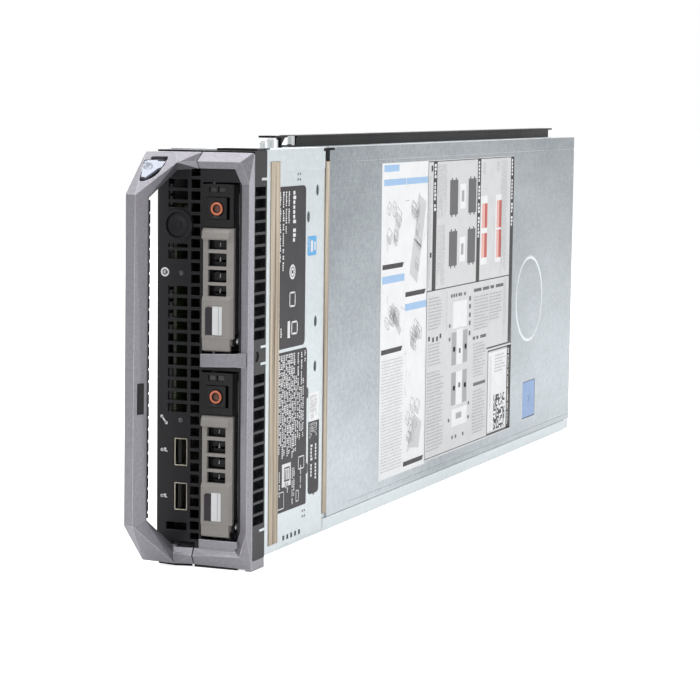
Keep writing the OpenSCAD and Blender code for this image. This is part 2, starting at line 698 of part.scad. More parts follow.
drive_y0 = 7.2;
drive_y1 = drive_y0 + drive_l;
drive_x0 = carrier_x0 + 0.4;
drive_z = (carrier_h - drive_w) / 2;
block_z = lever_h + 0.5;

// Carrier seen from the front: black head with the release button, two rails, cross tie
module carrier_frame(z) {
  head_z = z + block_z;
  difference() {
    union() {
      block([carrier_x0, lip_y, head_z], [carrier_x1, 4.6, z + carrier_h]);
      block([carrier_x0 + 0.6, 1.4, z + 0.2], [carrier_x1 - 0.4, 4.6, head_z + 1]);
      for (s = [z + 0.2, z + carrier_h - drive_z + 0.1])
        block([carrier_x0 + 0.6, 1.4, s], [carrier_x1 - 0.6, carrier_l, s + drive_z - 0.3]);
    }
    // lamp windows
    for (x = [carrier_x0 + 3.6, carrier_x0 + 8.1])
      block([x, lip_y - 1, z + carrier_h - 3.8], [x + 3.8, lip_y + 1.2, z + carrier_h - 1.2]);
    // well of the release button
    block([button_x - 0.2, lip_y - 1, z + button_z - 0.2],
      [button_x + button_side + 1.6, 3.4, z + button_z + button_side + 0.4]);
    // hollow behind the lever, and air slots through to the drive
    block([carrier_x0 + 2, 0, z + 8.6], [carrier_x1 - 2.4, 3.2, head_z - 2.4]);
    for (k = [0:8])
      block([carrier_x0 + 3.4, 2, z + 12 + k * 5], [carrier_x1 - 3.8, 6, z + 13.2 + k * 5]);
    block([carrier_x0 - 1, 0, z - 1], [carrier_x1 + 1, lever_y + 3.1, z + 8.6]);
    // notches along the rails
    for (s = [z - 0.5, z + carrier_h - 1.1], k = [0:3])
      block([carrier_x0 + 4, 24 + k * 20, s], [carrier_x1 - 4, 34 + k * 20, s + 1.6]);
    for (y = screw_ys, s = [z - 1, z + carrier_h - drive_z - 1])
      rod_z(1.6, s, s + drive_z + 2, carrier_x0 + 3.9, y);
  }
  // cheeks that carry the lever's pin, clear of the lever's foot as it swings
  difference() {
    for (x = [carrier_x0 + 0.1, carrier_x1 - 1.1]) {
      hull() {
        rod_x(2.3, x, x + 1, lever_y, z + lever_z);
        block([x, lever_y + 2.7, z + lever_z - 1.4], [x + 1, lever_y + 3.4, z + 9.2]);
      }
      block([x, lever_y + 2.7, z + 0.3], [x + 1, lever_y + 3.4, z + 9.2]);
      block([x, 1.5, z + 8.4], [x + 1, lever_y + 3.4, z + 9.4]);
    }
    rod_x(0.85, carrier_x0 - 1, carrier_x1 + 1, lever_y, z + lever_z);
  }
}
button_x = carrier_x0 + 2.7;
button_z = 62.4;
screw_ys = [drive_y0 + 14, drive_y0 + 90.6];

// Warm-grey lever with four windows and a raised lower panel, bevelled along one edge
module carrier_lever(z) {
  x0 = carrier_x0 + 0.2;
  x1 = carrier_x1 - 0.2;
  step_z = z + 24.4;
  foot_z = z + 6.4;
  front = lip_y - 0.2;
  difference() {
    union() {
      // side profile: raised lower panel, slanted step, plate and curled lip
      translate([x0, 0, 0]) rotate([90, 0, 90]) linear_extrude(x1 - x0)
        polygon([[front, foot_z - 0.1], [front, step_z], [front + 1.1, step_z + 2.2],
          [front + 1.1, z + lever_h - 5.8], [front - 0.6, z + lever_h - 4.9],
          [front - 0.3, z + lever_h - 2.2], [front + 1.2, z + lever_h],
          [1.1, z + lever_h], [1.1, foot_z - 0.1]]);
      // rounded foot, narrower than the panel
      translate([x0, 0, 0]) rotate([90, 0, 90]) linear_extrude(x1 - x0 - 1.5)
        polygon([[0.4, z - 0.1], [front + 0.7, z + 0.6], [front + 0.3, foot_z],
          [1.1, foot_z], [0.6, z + lever_z - 1]]);
      rod_x(2.6, carrier_x0 + 1.4, carrier_x1 - 1.4, lever_y, z + lever_z);
      block([carrier_x0 + 1.4, -0.2, z + lever_z - 1.6],
        [carrier_x1 - 1.4, lever_y, z + lever_z + 2.6]);
    }
    // bevel along the edge that faces the upright
    translate([x1 - 1.9, front, z - 1]) rotate([0, 0, 32])
      block([0, -4, 0], [4, 0, lever_h + 2]);
    for (w = [[26.1, 31.2], [32.7, 38.6], [40.2, 46.4], [48.1, 52.6]])
      block([carrier_x0 + 2.7, -4, z + w[0]], [carrier_x0 + 12.4, 4, z + w[1]]);
    // shallow label recess with one clipped corner
    translate([0, front + 0.35, 0]) rotate([90, 0, 0]) linear_extrude(2)
      polygon([[carrier_x0 + 1.7, z + 7.6], [carrier_x0 + 10.7, z + 7.6],
        [carrier_x0 + 10.7, z + 21.7], [carrier_x0 + 3.3, z + 21.7], [carrier_x0 + 1.7, z + 20.1]]);
    rod_x(0.85, carrier_x0 - 1, carrier_x1 + 1, lever_y, z + lever_z);
  }
}

module carrier_button(z) {
  x = button_x;
  mid = [x + button_side / 2 - 0.2, z + button_z + button_side / 2 - 0.2];
  difference() {
    block([x, lip_y - 0.2, z + button_z], [x + button_side, 1.2, z + button_z + button_side]);
    // dished finger well that shows the coloured ring
    translate([mid[0], lip_y + 0.6, mid[1]]) rotate([90, 0, 0])
      cylinder(r1 = 3, r2 = 4.4, h = 1, $fn = fine);
  }
  difference() {
    rod_y(2.9, lip_y, 0, mid[0], mid[1]);
    rod_y(1.85, lip_y - 1, -0.6, mid[0], mid[1]);
  }
}

module lever_pin(z) {
  rod_x(0.8, carrier_x0 + 0.1, carrier_x1 + 0.3, lever_y, z + lever_z);
  rod_x(1.6, carrier_x1 + 0.1, carrier_x1 + 0.8, lever_y, z + lever_z);
}

// Sealed drive: base casting, stepped lid, and the plug at its rear
module drive(z) {
  z0 = z + drive_z + 0.05;
  z1 = z0 + drive_w - 0.1;
  difference() {
    union() {
      block([drive_x0, drive_y0, z0], [drive_x0 + drive_t - 1.2, drive_y1, z1]);
      block([drive_x0 + 1, drive_y0 + 3, z0 + 4], [drive_x0 + drive_t, drive_y1 - 9, z1 - 4]);
    }
    block([drive_x0 + 2.4, drive_y1 - 4, z + 17.6], [drive_x0 + 8.6, drive_y1 + 1, z + 52.4]);
    for (y = screw_ys, s = [z0 - 1, z1 - 3])
      rod_z(1.25, s, s + 4, carrier_x0 + 3.9, y);
  }
}

module drive_screws(z) {
  for (y = screw_ys, s = [0, 1]) {
    head = s == 0 ? z + 1.6 : z + carrier_h - 1.6;
    dir = s == 0 ? 1 : -1;
    difference() {
      union() {
        rod_z(1.5, min(head, head + dir * 1.1), max(head, head + dir * 1.1), carrier_x0 + 3.9, y);
        rod_z(1.2, min(head, head + dir * 5.4), max(head, head + dir * 5.4), carrier_x0 + 3.9, y);
      }
      translate([0, 0, s == 0 ? head - 0.1 : head - 0.5])
        block([carrier_x0 + 3.7, y - 0.9, 0], [carrier_x0 + 4.1, y + 0.9, 0.6]);
    }
  }
}

module carrier_frame_upper() color(black) at_face() carrier_frame(bay_z[1]);
module carrier_frame_lower() color(black) at_face() carrier_frame(bay_z[0]);
module carrier_lever_upper() color(grey) at_face() carrier_lever(bay_z[1]);
module carrier_lever_lower() color(grey) at_face() carrier_lever(bay_z[0]);
module carrier_button_upper() color("#3a3234") at_face() carrier_button(bay_z[1]);
module carrier_button_lower() color("#3a3234") at_face() carrier_button(bay_z[0]);
module lever_pin_upper() color("#c9ccd0") at_face() lever_pin(bay_z[1]);
module lever_pin_lower() color("#c9ccd0") at_face() lever_pin(bay_z[0]);
module drive_upper() color("#8f9498") at_face() drive(bay_z[1]);
module drive_lower() color("#8f9498") at_face() drive(bay_z[0]);
module drive_screws_upper() color("#b0b3b6") at_face() drive_screws(bay_z[1]);
module drive_screws_lower() color("#b0b3b6") at_face() drive_screws(bay_z[0]);

// -------------------------------------------------------------------------- cover

module cover_panel() color(steel) at_face() {
  disc_y = body_l - 92.2;
  disc_z = steel_z0 + 93.4;
  difference() {
    union() {
      block([in_x, cover_y0, cover_z0], [xr, cover_y1, steel_z1]);
      block([flange_x0, cover_y0, steel_z1 - sheet], [xr, cover_y1, steel_z1]);
      // hooks that reach behind the ledge
      for (y = hook_ys) {
        block([in_x - sheet - 1, y, cover_z0 + 2], [in_x + 0.1, y + 4, cover_z0 + 5]);
        block([in_x - sheet - 1.2, y - 3, cover_z0 + 2], [in_x - sheet - 0.3, y + 4, cover_z0 + 5]);
      }
    }
    // pressed-back margin round the wide raised field
    difference() {
      block([xr - 0.2, cover_y0 - 1, steel_z1 - 8.6], [xr + 1, cover_y1 + 1, steel_z1 - 7.6]);
      block([xr - 1, cover_y0 - 2, 0], [xr + 2, cover_y0 + 28, body_h * 2]);
    }
    block([xr - 0.2, cover_y0 + 28, cover_z0 + 3.2], [xr + 1, cover_y1 + 1, cover_z0 + 4]);
    // pressed ring of the disc
    difference() {
      rod_x(disc_d / 2 + 0.7, xr - 0.3, xr + 1, disc_y, disc_z);
      rod_x(disc_d / 2, xr - 1, xr + 2, disc_y, disc_z);
    }
    // window for the release pad
    block([in_x - 1, pad_y - 0.4, pad_z - 0.4], [xr + 1, pad_y + pad_l + 0.4, pad_z + pad_w + 0.4]);
  }
}

module cover_release_pad() color("#8fa9cf") at_face() {
  difference() {
    block([in_x - 1.6, pad_y, pad_z], [xr - 0.15, pad_y + pad_l, pad_z + pad_w]);
    // shallow finger hollow
    translate([xr + 29.4, pad_y + pad_l / 2, pad_z + pad_w / 2]) sphere(r = 30, $fn = 96);
    block([in_x - 2, pad_y + 1.4, pad_z + 1.4], [in_x - 0.6, pad_y + pad_l - 1.4, pad_z + pad_w - 1.4]);
  }
}

module pad_housing() color("#3c3c40") at_face() {
  back = in_x - 2.6 - pad_travel;
  difference() {
    block([back, pad_y - 3, pad_z - 3], [in_x - 0.02, pad_y + pad_l + 3, pad_z + pad_w + 3]);
    block([back + 0.8, pad_y - 0.4, pad_z - 0.4], [in_x + 1, pad_y + pad_l + 0.4, pad_z + pad_w + 0.4]);
  }
}

// -------------------------------------------------------------------------- seals

module seal_strip_front() color("#c9bba8") at_face() {
  for (s = [0, 1]) mirror([s, 0, 0])
    difference() {
      block([xr - 0.4, steel_y0 + 4.3, steel_z0 + 4], [xr + 0.4, steel_y0 + 14.6, steel_z1 - 5.9]);
      block([xr + 0.15, steel_y0 + 8.2, 0], [xr + 1, steel_y0 + 9.6, body_h * 2]);
    }
}

module seal_strip_cover() color("#c3b6a6") at_face() {
  block([in_x, split_y + 0.6, steel_z0 + 9], [xr + 0.2, cover_y0 - 0.5, steel_z1 - 6]);
}

// ----------------------------------------------------------------------- top rail

rail_z1 = steel_z1 + rail_h;
rail_y0 = steel_y0 + 43;
rail_y1 = body_l - 5.4;

module rail_profile(y0, y1, lip0, lip1) {
  block([rail_x - rail_web, y0, steel_z1], [rail_x, y1, rail_z1]);
  block([rail_x - 9, lip0, rail_z1 - 1], [rail_x + 0.6, lip1, rail_z1]);
}

module top_rail() color("#26262a") at_face() {
  difference() {
    union() {
      rail_profile(rail_y0 + 25.2, rail_y1 - 6, rail_y0 + 25.2, rail_y1);
      rail_profile(rail_y0 + 6.8, rail_y0 + 20, rail_y0, rail_y0 + 20);
      // base flange that the screws hold
      block([rail_x - 9, rail_y0 + 6.8, steel_z1], [rail_x, rail_y1 - 14, steel_z1 + 0.8]);
    }
    // slanted front end of the long rail
    translate([0, rail_y0 + 25.2, rail_z1]) rotate([-50, 0, 0])
      block([rail_x - 10, -8, -16], [rail_x + 2, 0, 8]);
    for (y = rail_screw_ys) rod_z(1.7, steel_z1 - 1, steel_z1 + 2, rail_x - 6, y);
  }
}
rail_screw_ys = [for (k = [0:3]) rail_y0 + 60 + k * (body_l - 179.5) / 3];

module rail_screws() color("#8d9094") at_face() {
  for (y = rail_screw_ys)
    difference() {
      union() {
        rod_z(2.8, steel_z1 + 0.8, steel_z1 + 2.2, rail_x - 6, y);
        rod_z(1.5, steel_z1 - 3, steel_z1 + 1, rail_x - 6, y);
      }
      for (a = [0, 90])
        translate([rail_x - 6, y, steel_z1 + 2]) rotate([0, 0, a]) cube([3, 0.6, 1.2], center = true);
    }
}

module rail_gusset() color("#c4cbc8") at_face() {
  block([rail_x - rail_web, rail_y0 + 20.3, steel_z1 + 0.8], [rail_x - 0.2, rail_y0 + 24, rail_z1 - 0.3]);
}

module rail_guide_studs() color("#dfe3e2") at_face() {
  for (s = [[29.6, 2.1, 3.5], [39.4, 2.8, 4.6]]) {
    rod_z(s[1], steel_z1, steel_z1 + s[2] - 0.7, rail_x, steel_y0 + s[0]);
    rod_z(s[1] * 0.7, steel_z1, steel_z1 + s[2], rail_x, steel_y0 + s[0]);
  }
}

// ------------------------------------------------------------------ system board

cpu_y = [for (y = row_y) y + socket_l / 2];
bank_zs = [for (s = [-1, 1], i = [0:bank_n - 1]) board_mid + s * (bank_in + i * dimm_pitch)];
cpu_h = 4.2;
lid_h = 2.4;
sink_x0 = board_x1 + cpu_h + lid_h;
post_ys = [board_y0 + 22, cage_y1 + 14, row_y[1] - row_gap / 2, board_y1 - 8];
post_zs = [board_z0 + 5, board_z1 - 5];

module system_board() color(board_green) at_face() {
  difference() {
    block([board_x0, board_y0, board_z0], [board_x1, board_y1, board_z1]);
    for (y = post_ys, z = post_zs) rod_x(1.7, board_x0 - 1, board_x1 + 1, y, z);
    // cut-away corners beside the front ports
    block([board_x0 - 1, board_y0 - 1, board_z1 - 9], [board_x1 + 1, board_y0 + 14, board_z1 + 1]);
  }
}

module board_standoffs() color("#c2a86a") at_face() {
  for (y = post_ys, z = post_zs)
    difference() {
      rod_x(3, -in_x, board_x0, y, z);
      rod_x(1.3, -in_x + 1, board_x0 + 1, y, z);
    }
}

module board_screws() color("#b9bcc0") at_face() {
  for (y = post_ys, z = post_zs)
    difference() {
      union() {
        rod_x(3.2, board_x1, board_x1 + 1.8, y, z);
        rod_x(1.2, board_x0 - 3, board_x1 + 0.2, y, z);
      }
      for (a = [0, 90])
        translate([board_x1 + 1.4, y, z]) rotate([a, 0, 0]) cube([2, 3.2, 0.6], center = true);
    }
}

module cpu_sockets() color("#d9d6cc") at_face() {
  for (y = cpu_y)
    difference() {
      block([board_x1, y - 29, board_mid - 26], [board_x1 + cpu_h, y + 29, board_mid + 26]);
      block([board_x1 + 1, y - 26.4, board_mid - 22.9],
        [board_x1 + cpu_h + 1, y + 26.4, board_mid + 22.9]);
    }
}

module cpu_packages() color("#bfc3c6") at_face() {
  for (y = cpu_y) {
    block([board_x1 + 1, y - 26.2, board_mid - 22.7],
      [board_x1 + cpu_h - 0.6, y + 26.2, board_mid + 22.7]);
    block([board_x1 + cpu_h - 0.7, y - 19, board_mid - 19], [sink_x0, y + 19, board_mid + 19]);
  }
}

// Base plate with a row of fins, and four sprung screws at its corners
module cpu_heatsinks() color("#aeb4b8") at_face() {
  fin_p = (sink_w - 1.2) / (fin_n - 1);
  for (y = cpu_y)
    difference() {
      union() {
        block([sink_x0, y - sink_l / 2, board_mid - sink_w / 2],
          [sink_x0 + 4, y + sink_l / 2, board_mid + sink_w / 2]);
        for (k = [0:fin_n - 1])
          block([sink_x0 + 3.9, y - sink_l / 2, board_mid - sink_w / 2 + k * fin_p],
            [sink_x0 + sink_h, y + sink_l / 2, board_mid - sink_w / 2 + k * fin_p + 0.9]);
      }
      // clear corners for the screws
      for (p = sink_screws(y)) {
        block([sink_x0 + 4, p[0] - 6.5, p[1] - 6], [sink_x0 + sink_h + 1, p[0] + 6.5, p[1] + 6]);
        rod_x(2, sink_x0 - 1, sink_x0 + 5, p[0], p[1]);
      }
    }
}

function sink_screws(y) =
  [for (a = [-1, 1], b = [-1, 1]) [y + a * (sink_l / 2 - 8), board_mid + b * (sink_w / 2 - 7)]];

module heatsink_screws() color("#c9ccd0") at_face() {
  for (y = cpu_y, p = sink_screws(y)) {
    rod_x(3.4, sink_x0 + 4, sink_x0 + 7, p[0], p[1]);
    rod_x(1.5, board_x1, sink_x0 + 4.1, p[0], p[1]);
    rod_x(3, board_x1, board_x1 + 4, p[0], p[1]);
  }
}

// Memory socket: a long grooved bar with a latch tower at each end
module memory_socket(y, z) {
  difference() {
    union() {
      block([board_x1, y + 3.6, z - socket_w / 2],
        [board_x1 + socket_h - 2, y + socket_l - 3.6, z + socket_w / 2]);
      for (e = [y, y + socket_l - 5])
        block([board_x1, e, z - socket_w / 2], [board_x1 + socket_h + 4, e + 5, z + socket_w / 2]);
    }
    block([board_x1 + 2.6, y + 4, z - 0.85], [board_x1 + socket_h + 6, y + socket_l - 4, z + 0.85]);
  }
}

module dimm_sockets() color("#26262a") at_face() {
  for (y = row_y, z = bank_zs) memory_socket(y, z);
}

module dimm_modules() color("#2f6b46") at_face() {
  for (y = row_y, z = bank_zs) {
    y0 = y + (socket_l - dimm_l) / 2;
    x0 = board_x1 + 3;
    difference() {
      block([x0, y0, z - 0.6], [x0 + dimm_h, y0 + dimm_l, z + 0.6]);
      // notches that the latches catch
      for (e = [y0 - 0.1, y0 + dimm_l - 1.9])
        block([x0 + dimm_h / 2, e, z - 1], [x0 + dimm_h / 2 + 3.4, e + 2, z + 1]);
    }
    // row of memory chips
    for (k = [0:7])
      block([x0 + 10, y0 + 6 + k * 15.6, z + 0.5], [x0 + 22, y0 + 16 + k * 15.6, z + 1.6]);
  }
}

// Ejector latches at both ends of every memory socket, hooked into the module's notches
module dimm_latches() color("#d8d5cb") at_face() {
  notch_x = board_x1 + 3 + dimm_h / 2;
  for (y = row_y, z = bank_zs, e = [0, 1])
    translate([0, y + socket_l / 2, z]) mirror([0, e, 0]) {
      block([board_x1 + socket_h + 4, -socket_l / 2 + 0.8, -1.8],
        [notch_x + 4.4, -socket_l / 2 + 3.6, 1.8]);
      block([notch_x + 0.3, -socket_l / 2 + 3.5, -1.8], [notch_x + 3.1, -socket_l / 2 + 5.7, 1.8]);
    }
}

baffle_z = sink_w / 2 + 1;
baffle_x1 = sink_x0 + sink_h + 2;

module air_baffle() color("#1c1c1f") at_face() {
  y0 = row_y[0] - 3;
  y1 = row_y[1] + socket_l + 3;
  difference() {
    union() {
      for (s = [-1, 1])
        block([board_x1, y0, board_mid + s * baffle_z - 0.6],
          [baffle_x1, y1, board_mid + s * baffle_z + 0.6]);
      block([baffle_x1 - 1.2, y0, board_mid - baffle_z], [baffle_x1, y1, board_mid + baffle_z]);
    }
    // row of vents and two lifting holes
    for (k = [0:6])
      block([baffle_x1 - 2, row_y[1] - 24 + k * 6, board_mid - 26],
        [baffle_x1 + 1, row_y[1] - 21 + k * 6, board_mid + 26]);
    for (y = cpu_y) rod_x(9, baffle_x1 - 2, baffle_x1 + 1, y, board_mid);
    // clearance over the parts between the legs
    for (s = [-1, 1], y = cpu_y)
      block([board_x1 - 1, y - 52, board_mid + s * baffle_z - 2],
        [board_x1 + 3, y + 52, board_mid + s * baffle_z + 2]);
  }
}

module card(x, lo, hi) {
  block([x, lo[0], lo[1]], [x + board_t, hi[0], hi[1]]);
}

card_x = board_x1 + 14;

module raid_card() color("#35614a") at_face() {
  card(board_x1 + 6.4, [board_y0 + 8, board_mid + 10], [cage_y1 - 18, board_z1 - 12]);
  block([board_x1, board_y0 + 20, board_mid + 16], [board_x1 + 6.5, board_y0 + 27, board_mid + 60]);
  block([board_x1 + 8, board_y0 + 40, board_mid + 30], [board_x1 + 10.4, board_y0 + 60, board_mid + 50]);
}

module network_card() color("#35614a") at_face() {
  card(card_x, [board_y1 - 50, board_mid - 24], [board_y1 - 2, board_mid + 24]);
  block([board_x1, board_y1 - 24, board_mid - 18], [card_x + 0.1, board_y1 - 17, board_mid + 18]);
  block([card_x + board_t - 0.1, board_y1 - 44, board_mid - 12],
    [card_x + 7, board_y1 - 20, board_mid + 12]);
}

module mezzanine_cards() color("#35614a") at_face() {
  for (s = [-1, 1]) {
    z = board_mid + s * 58;
    card(card_x, [board_y1 - 50, z - 31], [board_y1 - 2, z + 31]);
    difference() {
      block([card_x + board_t - 0.1, board_y1 - 40, z - 12], [card_x + 9, board_y1 - 16, z + 12]);
      for (k = [0:5])
        block([card_x + 4, board_y1 - 41, z - 10.6 + k * 4], [card_x + 10, board_y1 - 15, z - 8.4 + k * 4]);
    }
  }
}

module mezzanine_connectors() color("#2a2a2e") at_face() {
  for (s = [-1, 1]) {
    z = board_mid + s * 58;
    block([board_x1, board_y1 - 24, z - 25], [card_x, board_y1 - 16, z + 25]);
  }
}

module midplane_connectors() color("#232327") at_face() {
  for (z = [board_mid - 62, board_mid, board_mid + 62])
    difference() {
      block([board_x1, board_y1 - 12, z - 22], [card_x - 1, body_l - 0.6, z + 22]);
      // rows of contact slots
      for (k = [0:8])
        block([board_x1 + 2.4, body_l - 6, z - 19.6 + k * 4.4],
          [card_x - 3.4, body_l, z - 17.6 + k * 4.4]);
    }
}

guide_x = rail_x + 1.6;
guide_zs = [board_mid - 31, board_mid + 31];
guide_w = 12;
guide_h = 10.8;
web_x1 = in_x - 6;

module guide_sockets() color("#9a9da0") at_face() {
  for (z = guide_zs)
    difference() {
      union() {
        block([guide_x - guide_w / 2, body_l - sheet - 26, z - guide_h / 2],
          [guide_x + guide_w / 2, body_l, z + guide_h / 2]);
        // ear that bears on the rear plate
        block([guide_x - guide_w / 2 - 7, body_l - sheet - 4, z - guide_h / 2],
          [guide_x, body_l - sheet, z + guide_h / 2]);
      }
      rod_y(guide_d / 2, body_l - guide_l, body_l + 1, guide_x, z);
    }
}

module rear_plate() color(steel) at_face() {
  difference() {
    union() {
      block([-in_x, body_l - sheet, steel_z0 + sheet],
        [in_x - sheet - 0.1, body_l, steel_z1 - sheet - step]);
      // flange folded along the closed side
      block([-in_x, body_l - 9, steel_z0 + sheet],
        [-in_x + sheet, body_l, steel_z1 - sheet - step]);
    }
    for (z = [board_mid - 62, board_mid, board_mid + 62])
      block([board_x1 - 1, body_l - sheet - 1, z - 25], [web_x1, body_l + 1, z + 25]);
    for (z = guide_zs)
      block([guide_x - guide_w / 2, body_l - sheet - 1, z - 7], [web_x1, body_l + 1, z + 7]);
    for (z = [board_z0 + 12, board_mid, board_z1 - 12])
      rod_x(1.6, -in_x - 1, -in_x + sheet + 1, body_l - 5, z);
  }
}

module chipset_heatsink() color("#8e9396") at_face() {
  y = board_y0 + 24;
  z = board_z0 + 44;
  difference() {
    block([board_x1, y, z - 17], [board_x1 + 10, y + 34, z + 17]);
    for (k = [0:6])
      block([board_x1 + 3, y - 1, z - 14.8 + k * 4.4], [board_x1 + 11, y + 35, z - 12.2 + k * 4.4]);
  }
}

module power_stages() color("#55575c") at_face() {
  for (y = [cage_y1 + 10, row_y[1] - row_gap / 2 - 2.3], k = [0:5])
    block([board_x1, y, board_mid - 27 + k * 9.4],
      [board_x1 + 5.6, y + (y < row_y[0] ? 8 : 4.6), board_mid - 27 + k * 9.4 + 7]);
}

cell_y = board_y0 + 78;
cell_z = board_z0 + 40;

module coin_cell_holder() color("#2b2a2d") at_face() {
  difference() {
    rod_x(12, board_x1, board_x1 + 3.6, cell_y, cell_z);
    rod_x(10.2, board_x1 + 1, board_x1 + 4, cell_y, cell_z);
    block([board_x1 + 1, cell_y - 3, cell_z + 6], [board_x1 + 4, cell_y + 3, cell_z + 13]);
  }
}

module coin_cell() color("#d3d6d8") at_face() {
  rod_x(10, board_x1 + 1, board_x1 + 3.6, cell_y, cell_z);
  rod_x(8.6, board_x1 + 3.5, board_x1 + 4.2, cell_y, cell_z);
}

chassis_tray();
bezel_body();
front_frame();
handle_bar();
handle_grip_liner();
handle_badge();
handle_hinge_pin();
ejector_cam();
release_button();
handle_catch();
power_button();
status_light_pipes();
front_usb_ports();
front_panel_board();
drive_cage();
drive_backplane();
carrier_frame_upper();
carrier_frame_lower();
carrier_lever_upper();
carrier_lever_lower();
carrier_button_upper();
carrier_button_lower();
lever_pin_upper();
lever_pin_lower();
drive_upper();
drive_lower();
drive_screws_upper();
drive_screws_lower();
cover_panel();
cover_release_pad();
pad_housing();
seal_strip_front();
seal_strip_cover();
top_rail();
rail_gusset();
rail_guide_studs();
system_board();
board_standoffs();
board_screws();
cpu_sockets();
cpu_packages();
cpu_heatsinks();
heatsink_screws();
dimm_sockets();
dimm_modules();
air_baffle();
raid_card();
network_card();
mezzanine_cards();
mezzanine_connectors();
midplane_connectors();
guide_sockets();
rear_plate();
rail_screws();
usb_tongues();
dimm_latches();
chipset_heatsink();
power_stages();
coin_cell();
coin_cell_holder();
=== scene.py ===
"""Looks of a half-height blade server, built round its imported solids.

Lengths here are millimetres in the sled's own axes: x across it, y back from the face of the
bezel, z up from the front foot. Datum.at() turns them into metres in the row's frame.
"""

import logging
import math
import random
from abc import ABC, abstractmethod
from dataclasses import dataclass, field
from enum import Enum
from typing import Iterable, Sequence

import bmesh
import bpy
from mathutils import Matrix, Vector

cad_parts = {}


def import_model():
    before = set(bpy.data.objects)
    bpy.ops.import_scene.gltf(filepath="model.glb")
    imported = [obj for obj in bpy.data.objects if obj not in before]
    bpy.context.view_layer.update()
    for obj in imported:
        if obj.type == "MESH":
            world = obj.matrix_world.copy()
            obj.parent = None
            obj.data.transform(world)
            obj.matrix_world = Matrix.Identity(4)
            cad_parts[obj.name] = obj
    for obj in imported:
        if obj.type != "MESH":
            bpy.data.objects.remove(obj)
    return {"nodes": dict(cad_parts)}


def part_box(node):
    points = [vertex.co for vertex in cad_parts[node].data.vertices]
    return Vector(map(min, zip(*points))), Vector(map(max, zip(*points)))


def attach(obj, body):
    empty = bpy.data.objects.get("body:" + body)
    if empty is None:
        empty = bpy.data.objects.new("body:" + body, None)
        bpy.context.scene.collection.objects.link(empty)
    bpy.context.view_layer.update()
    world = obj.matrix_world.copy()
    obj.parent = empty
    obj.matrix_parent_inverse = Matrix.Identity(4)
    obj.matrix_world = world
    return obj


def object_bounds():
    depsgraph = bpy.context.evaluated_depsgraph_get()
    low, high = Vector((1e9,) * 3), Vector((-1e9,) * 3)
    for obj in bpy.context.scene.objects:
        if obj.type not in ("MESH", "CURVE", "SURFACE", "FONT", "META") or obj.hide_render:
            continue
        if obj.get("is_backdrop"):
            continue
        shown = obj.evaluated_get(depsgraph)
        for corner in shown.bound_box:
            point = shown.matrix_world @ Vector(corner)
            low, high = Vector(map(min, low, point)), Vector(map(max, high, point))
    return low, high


log = logging.getLogger("blade_server")

MM = 0.001
Colour = tuple[float, float, float]
Point = tuple[float, float, float]


class Body(str, Enum):
    """The moving bodies that pieces ride on."""

    SLED = "sled"
    HANDLE = "ejector_handle"
    RELEASE = "release_button"
    POWER = "power_button"
    COVER = "side_cover"
    COVER_PAD = "cover_pad"
    UPPER_CARRIER = "upper_carrier"
    UPPER_LEVER = "upper_lever"
    UPPER_BUTTON = "upper_drive_button"
    LOWER_CARRIER = "lower_carrier"
    LOWER_LEVER = "lower_lever"
    LOWER_BUTTON = "lower_drive_button"


class Slot(str, Enum):
    """The material slots that pieces take their finish from."""

    STEEL = "galvanised_steel"
    BLACK = "black_plastic"
    SILVER = "silver_paint"
    GREY = "warm_grey_plastic"
    RUBBER = "dark_rubber"
    MACHINED = "machined_steel"
    CLEAR = "clear_plastic"
    BOARD = "circuit_board"
    BLUE = "blue_plastic"
    RAIL = "black_rail"
    COMPONENT = "component_grey"
    LABEL = "printed_label"
    RING = "orange_plastic"


def srgb(code: str) -> Colour:
    """Turns a six-digit colour code into linear red, green and blue.

    Args:
        code: Six hexadecimal digits.

    Returns:
        The linear colour.
    """
    parts = [int(code[i : i + 2], 16) / 255 for i in (0, 2, 4)]
    return tuple(p / 12.92 if p <= 0.04045 else ((p + 0.055) / 1.055) ** 2.4 for p in parts)


@dataclass(frozen=True)
class Datum:
    """Where the sled's own axes lie in the row's frame, in metres."""

    face_y: float

    @classmethod
    def measure(cls) -> "Datum":
        """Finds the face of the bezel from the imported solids."""
        bpy.context.view_layer.update()
        return cls(face_y=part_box("carrier_lever_upper")[0].y + 2.4 * MM)

    def at(self, point: Sequence[float]) -> Vector:
        """Turns a point in millimetres on the sled into the row's frame."""
        return Vector((point[0] * MM, self.face_y + point[1] * MM, point[2] * MM))

    def millimetres(self, place: Vector) -> tuple[float, float, float]:
        """Turns a place in the row's frame into millimetres on the sled."""
        return place[0] / MM, (place[1] - self.face_y) / MM, place[2] / MM

    def meet(self, node: str, start: Point, way: Point) -> tuple[float, float, float]:
        """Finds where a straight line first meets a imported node.

        Args:
            node: The node's name.
            start: Where the line starts, in millimetres on the sled.
            way: Its direction.

        Returns:
            The meeting point, in millimetres on the sled.
        """
        solid = bpy.data.objects[node]
        into = solid.matrix_world.inverted()
        hit, place, _, _ = solid.ray_cast(into @ self.at(start), (into.to_3x3() @ Vector(way)).normalized())
        if not hit:
            raise ValueError(f"{node} isn't met from {start}")
        return self.millimetres(solid.matrix_world @ place)


# ------------------------------------------------------------------------- shader effects


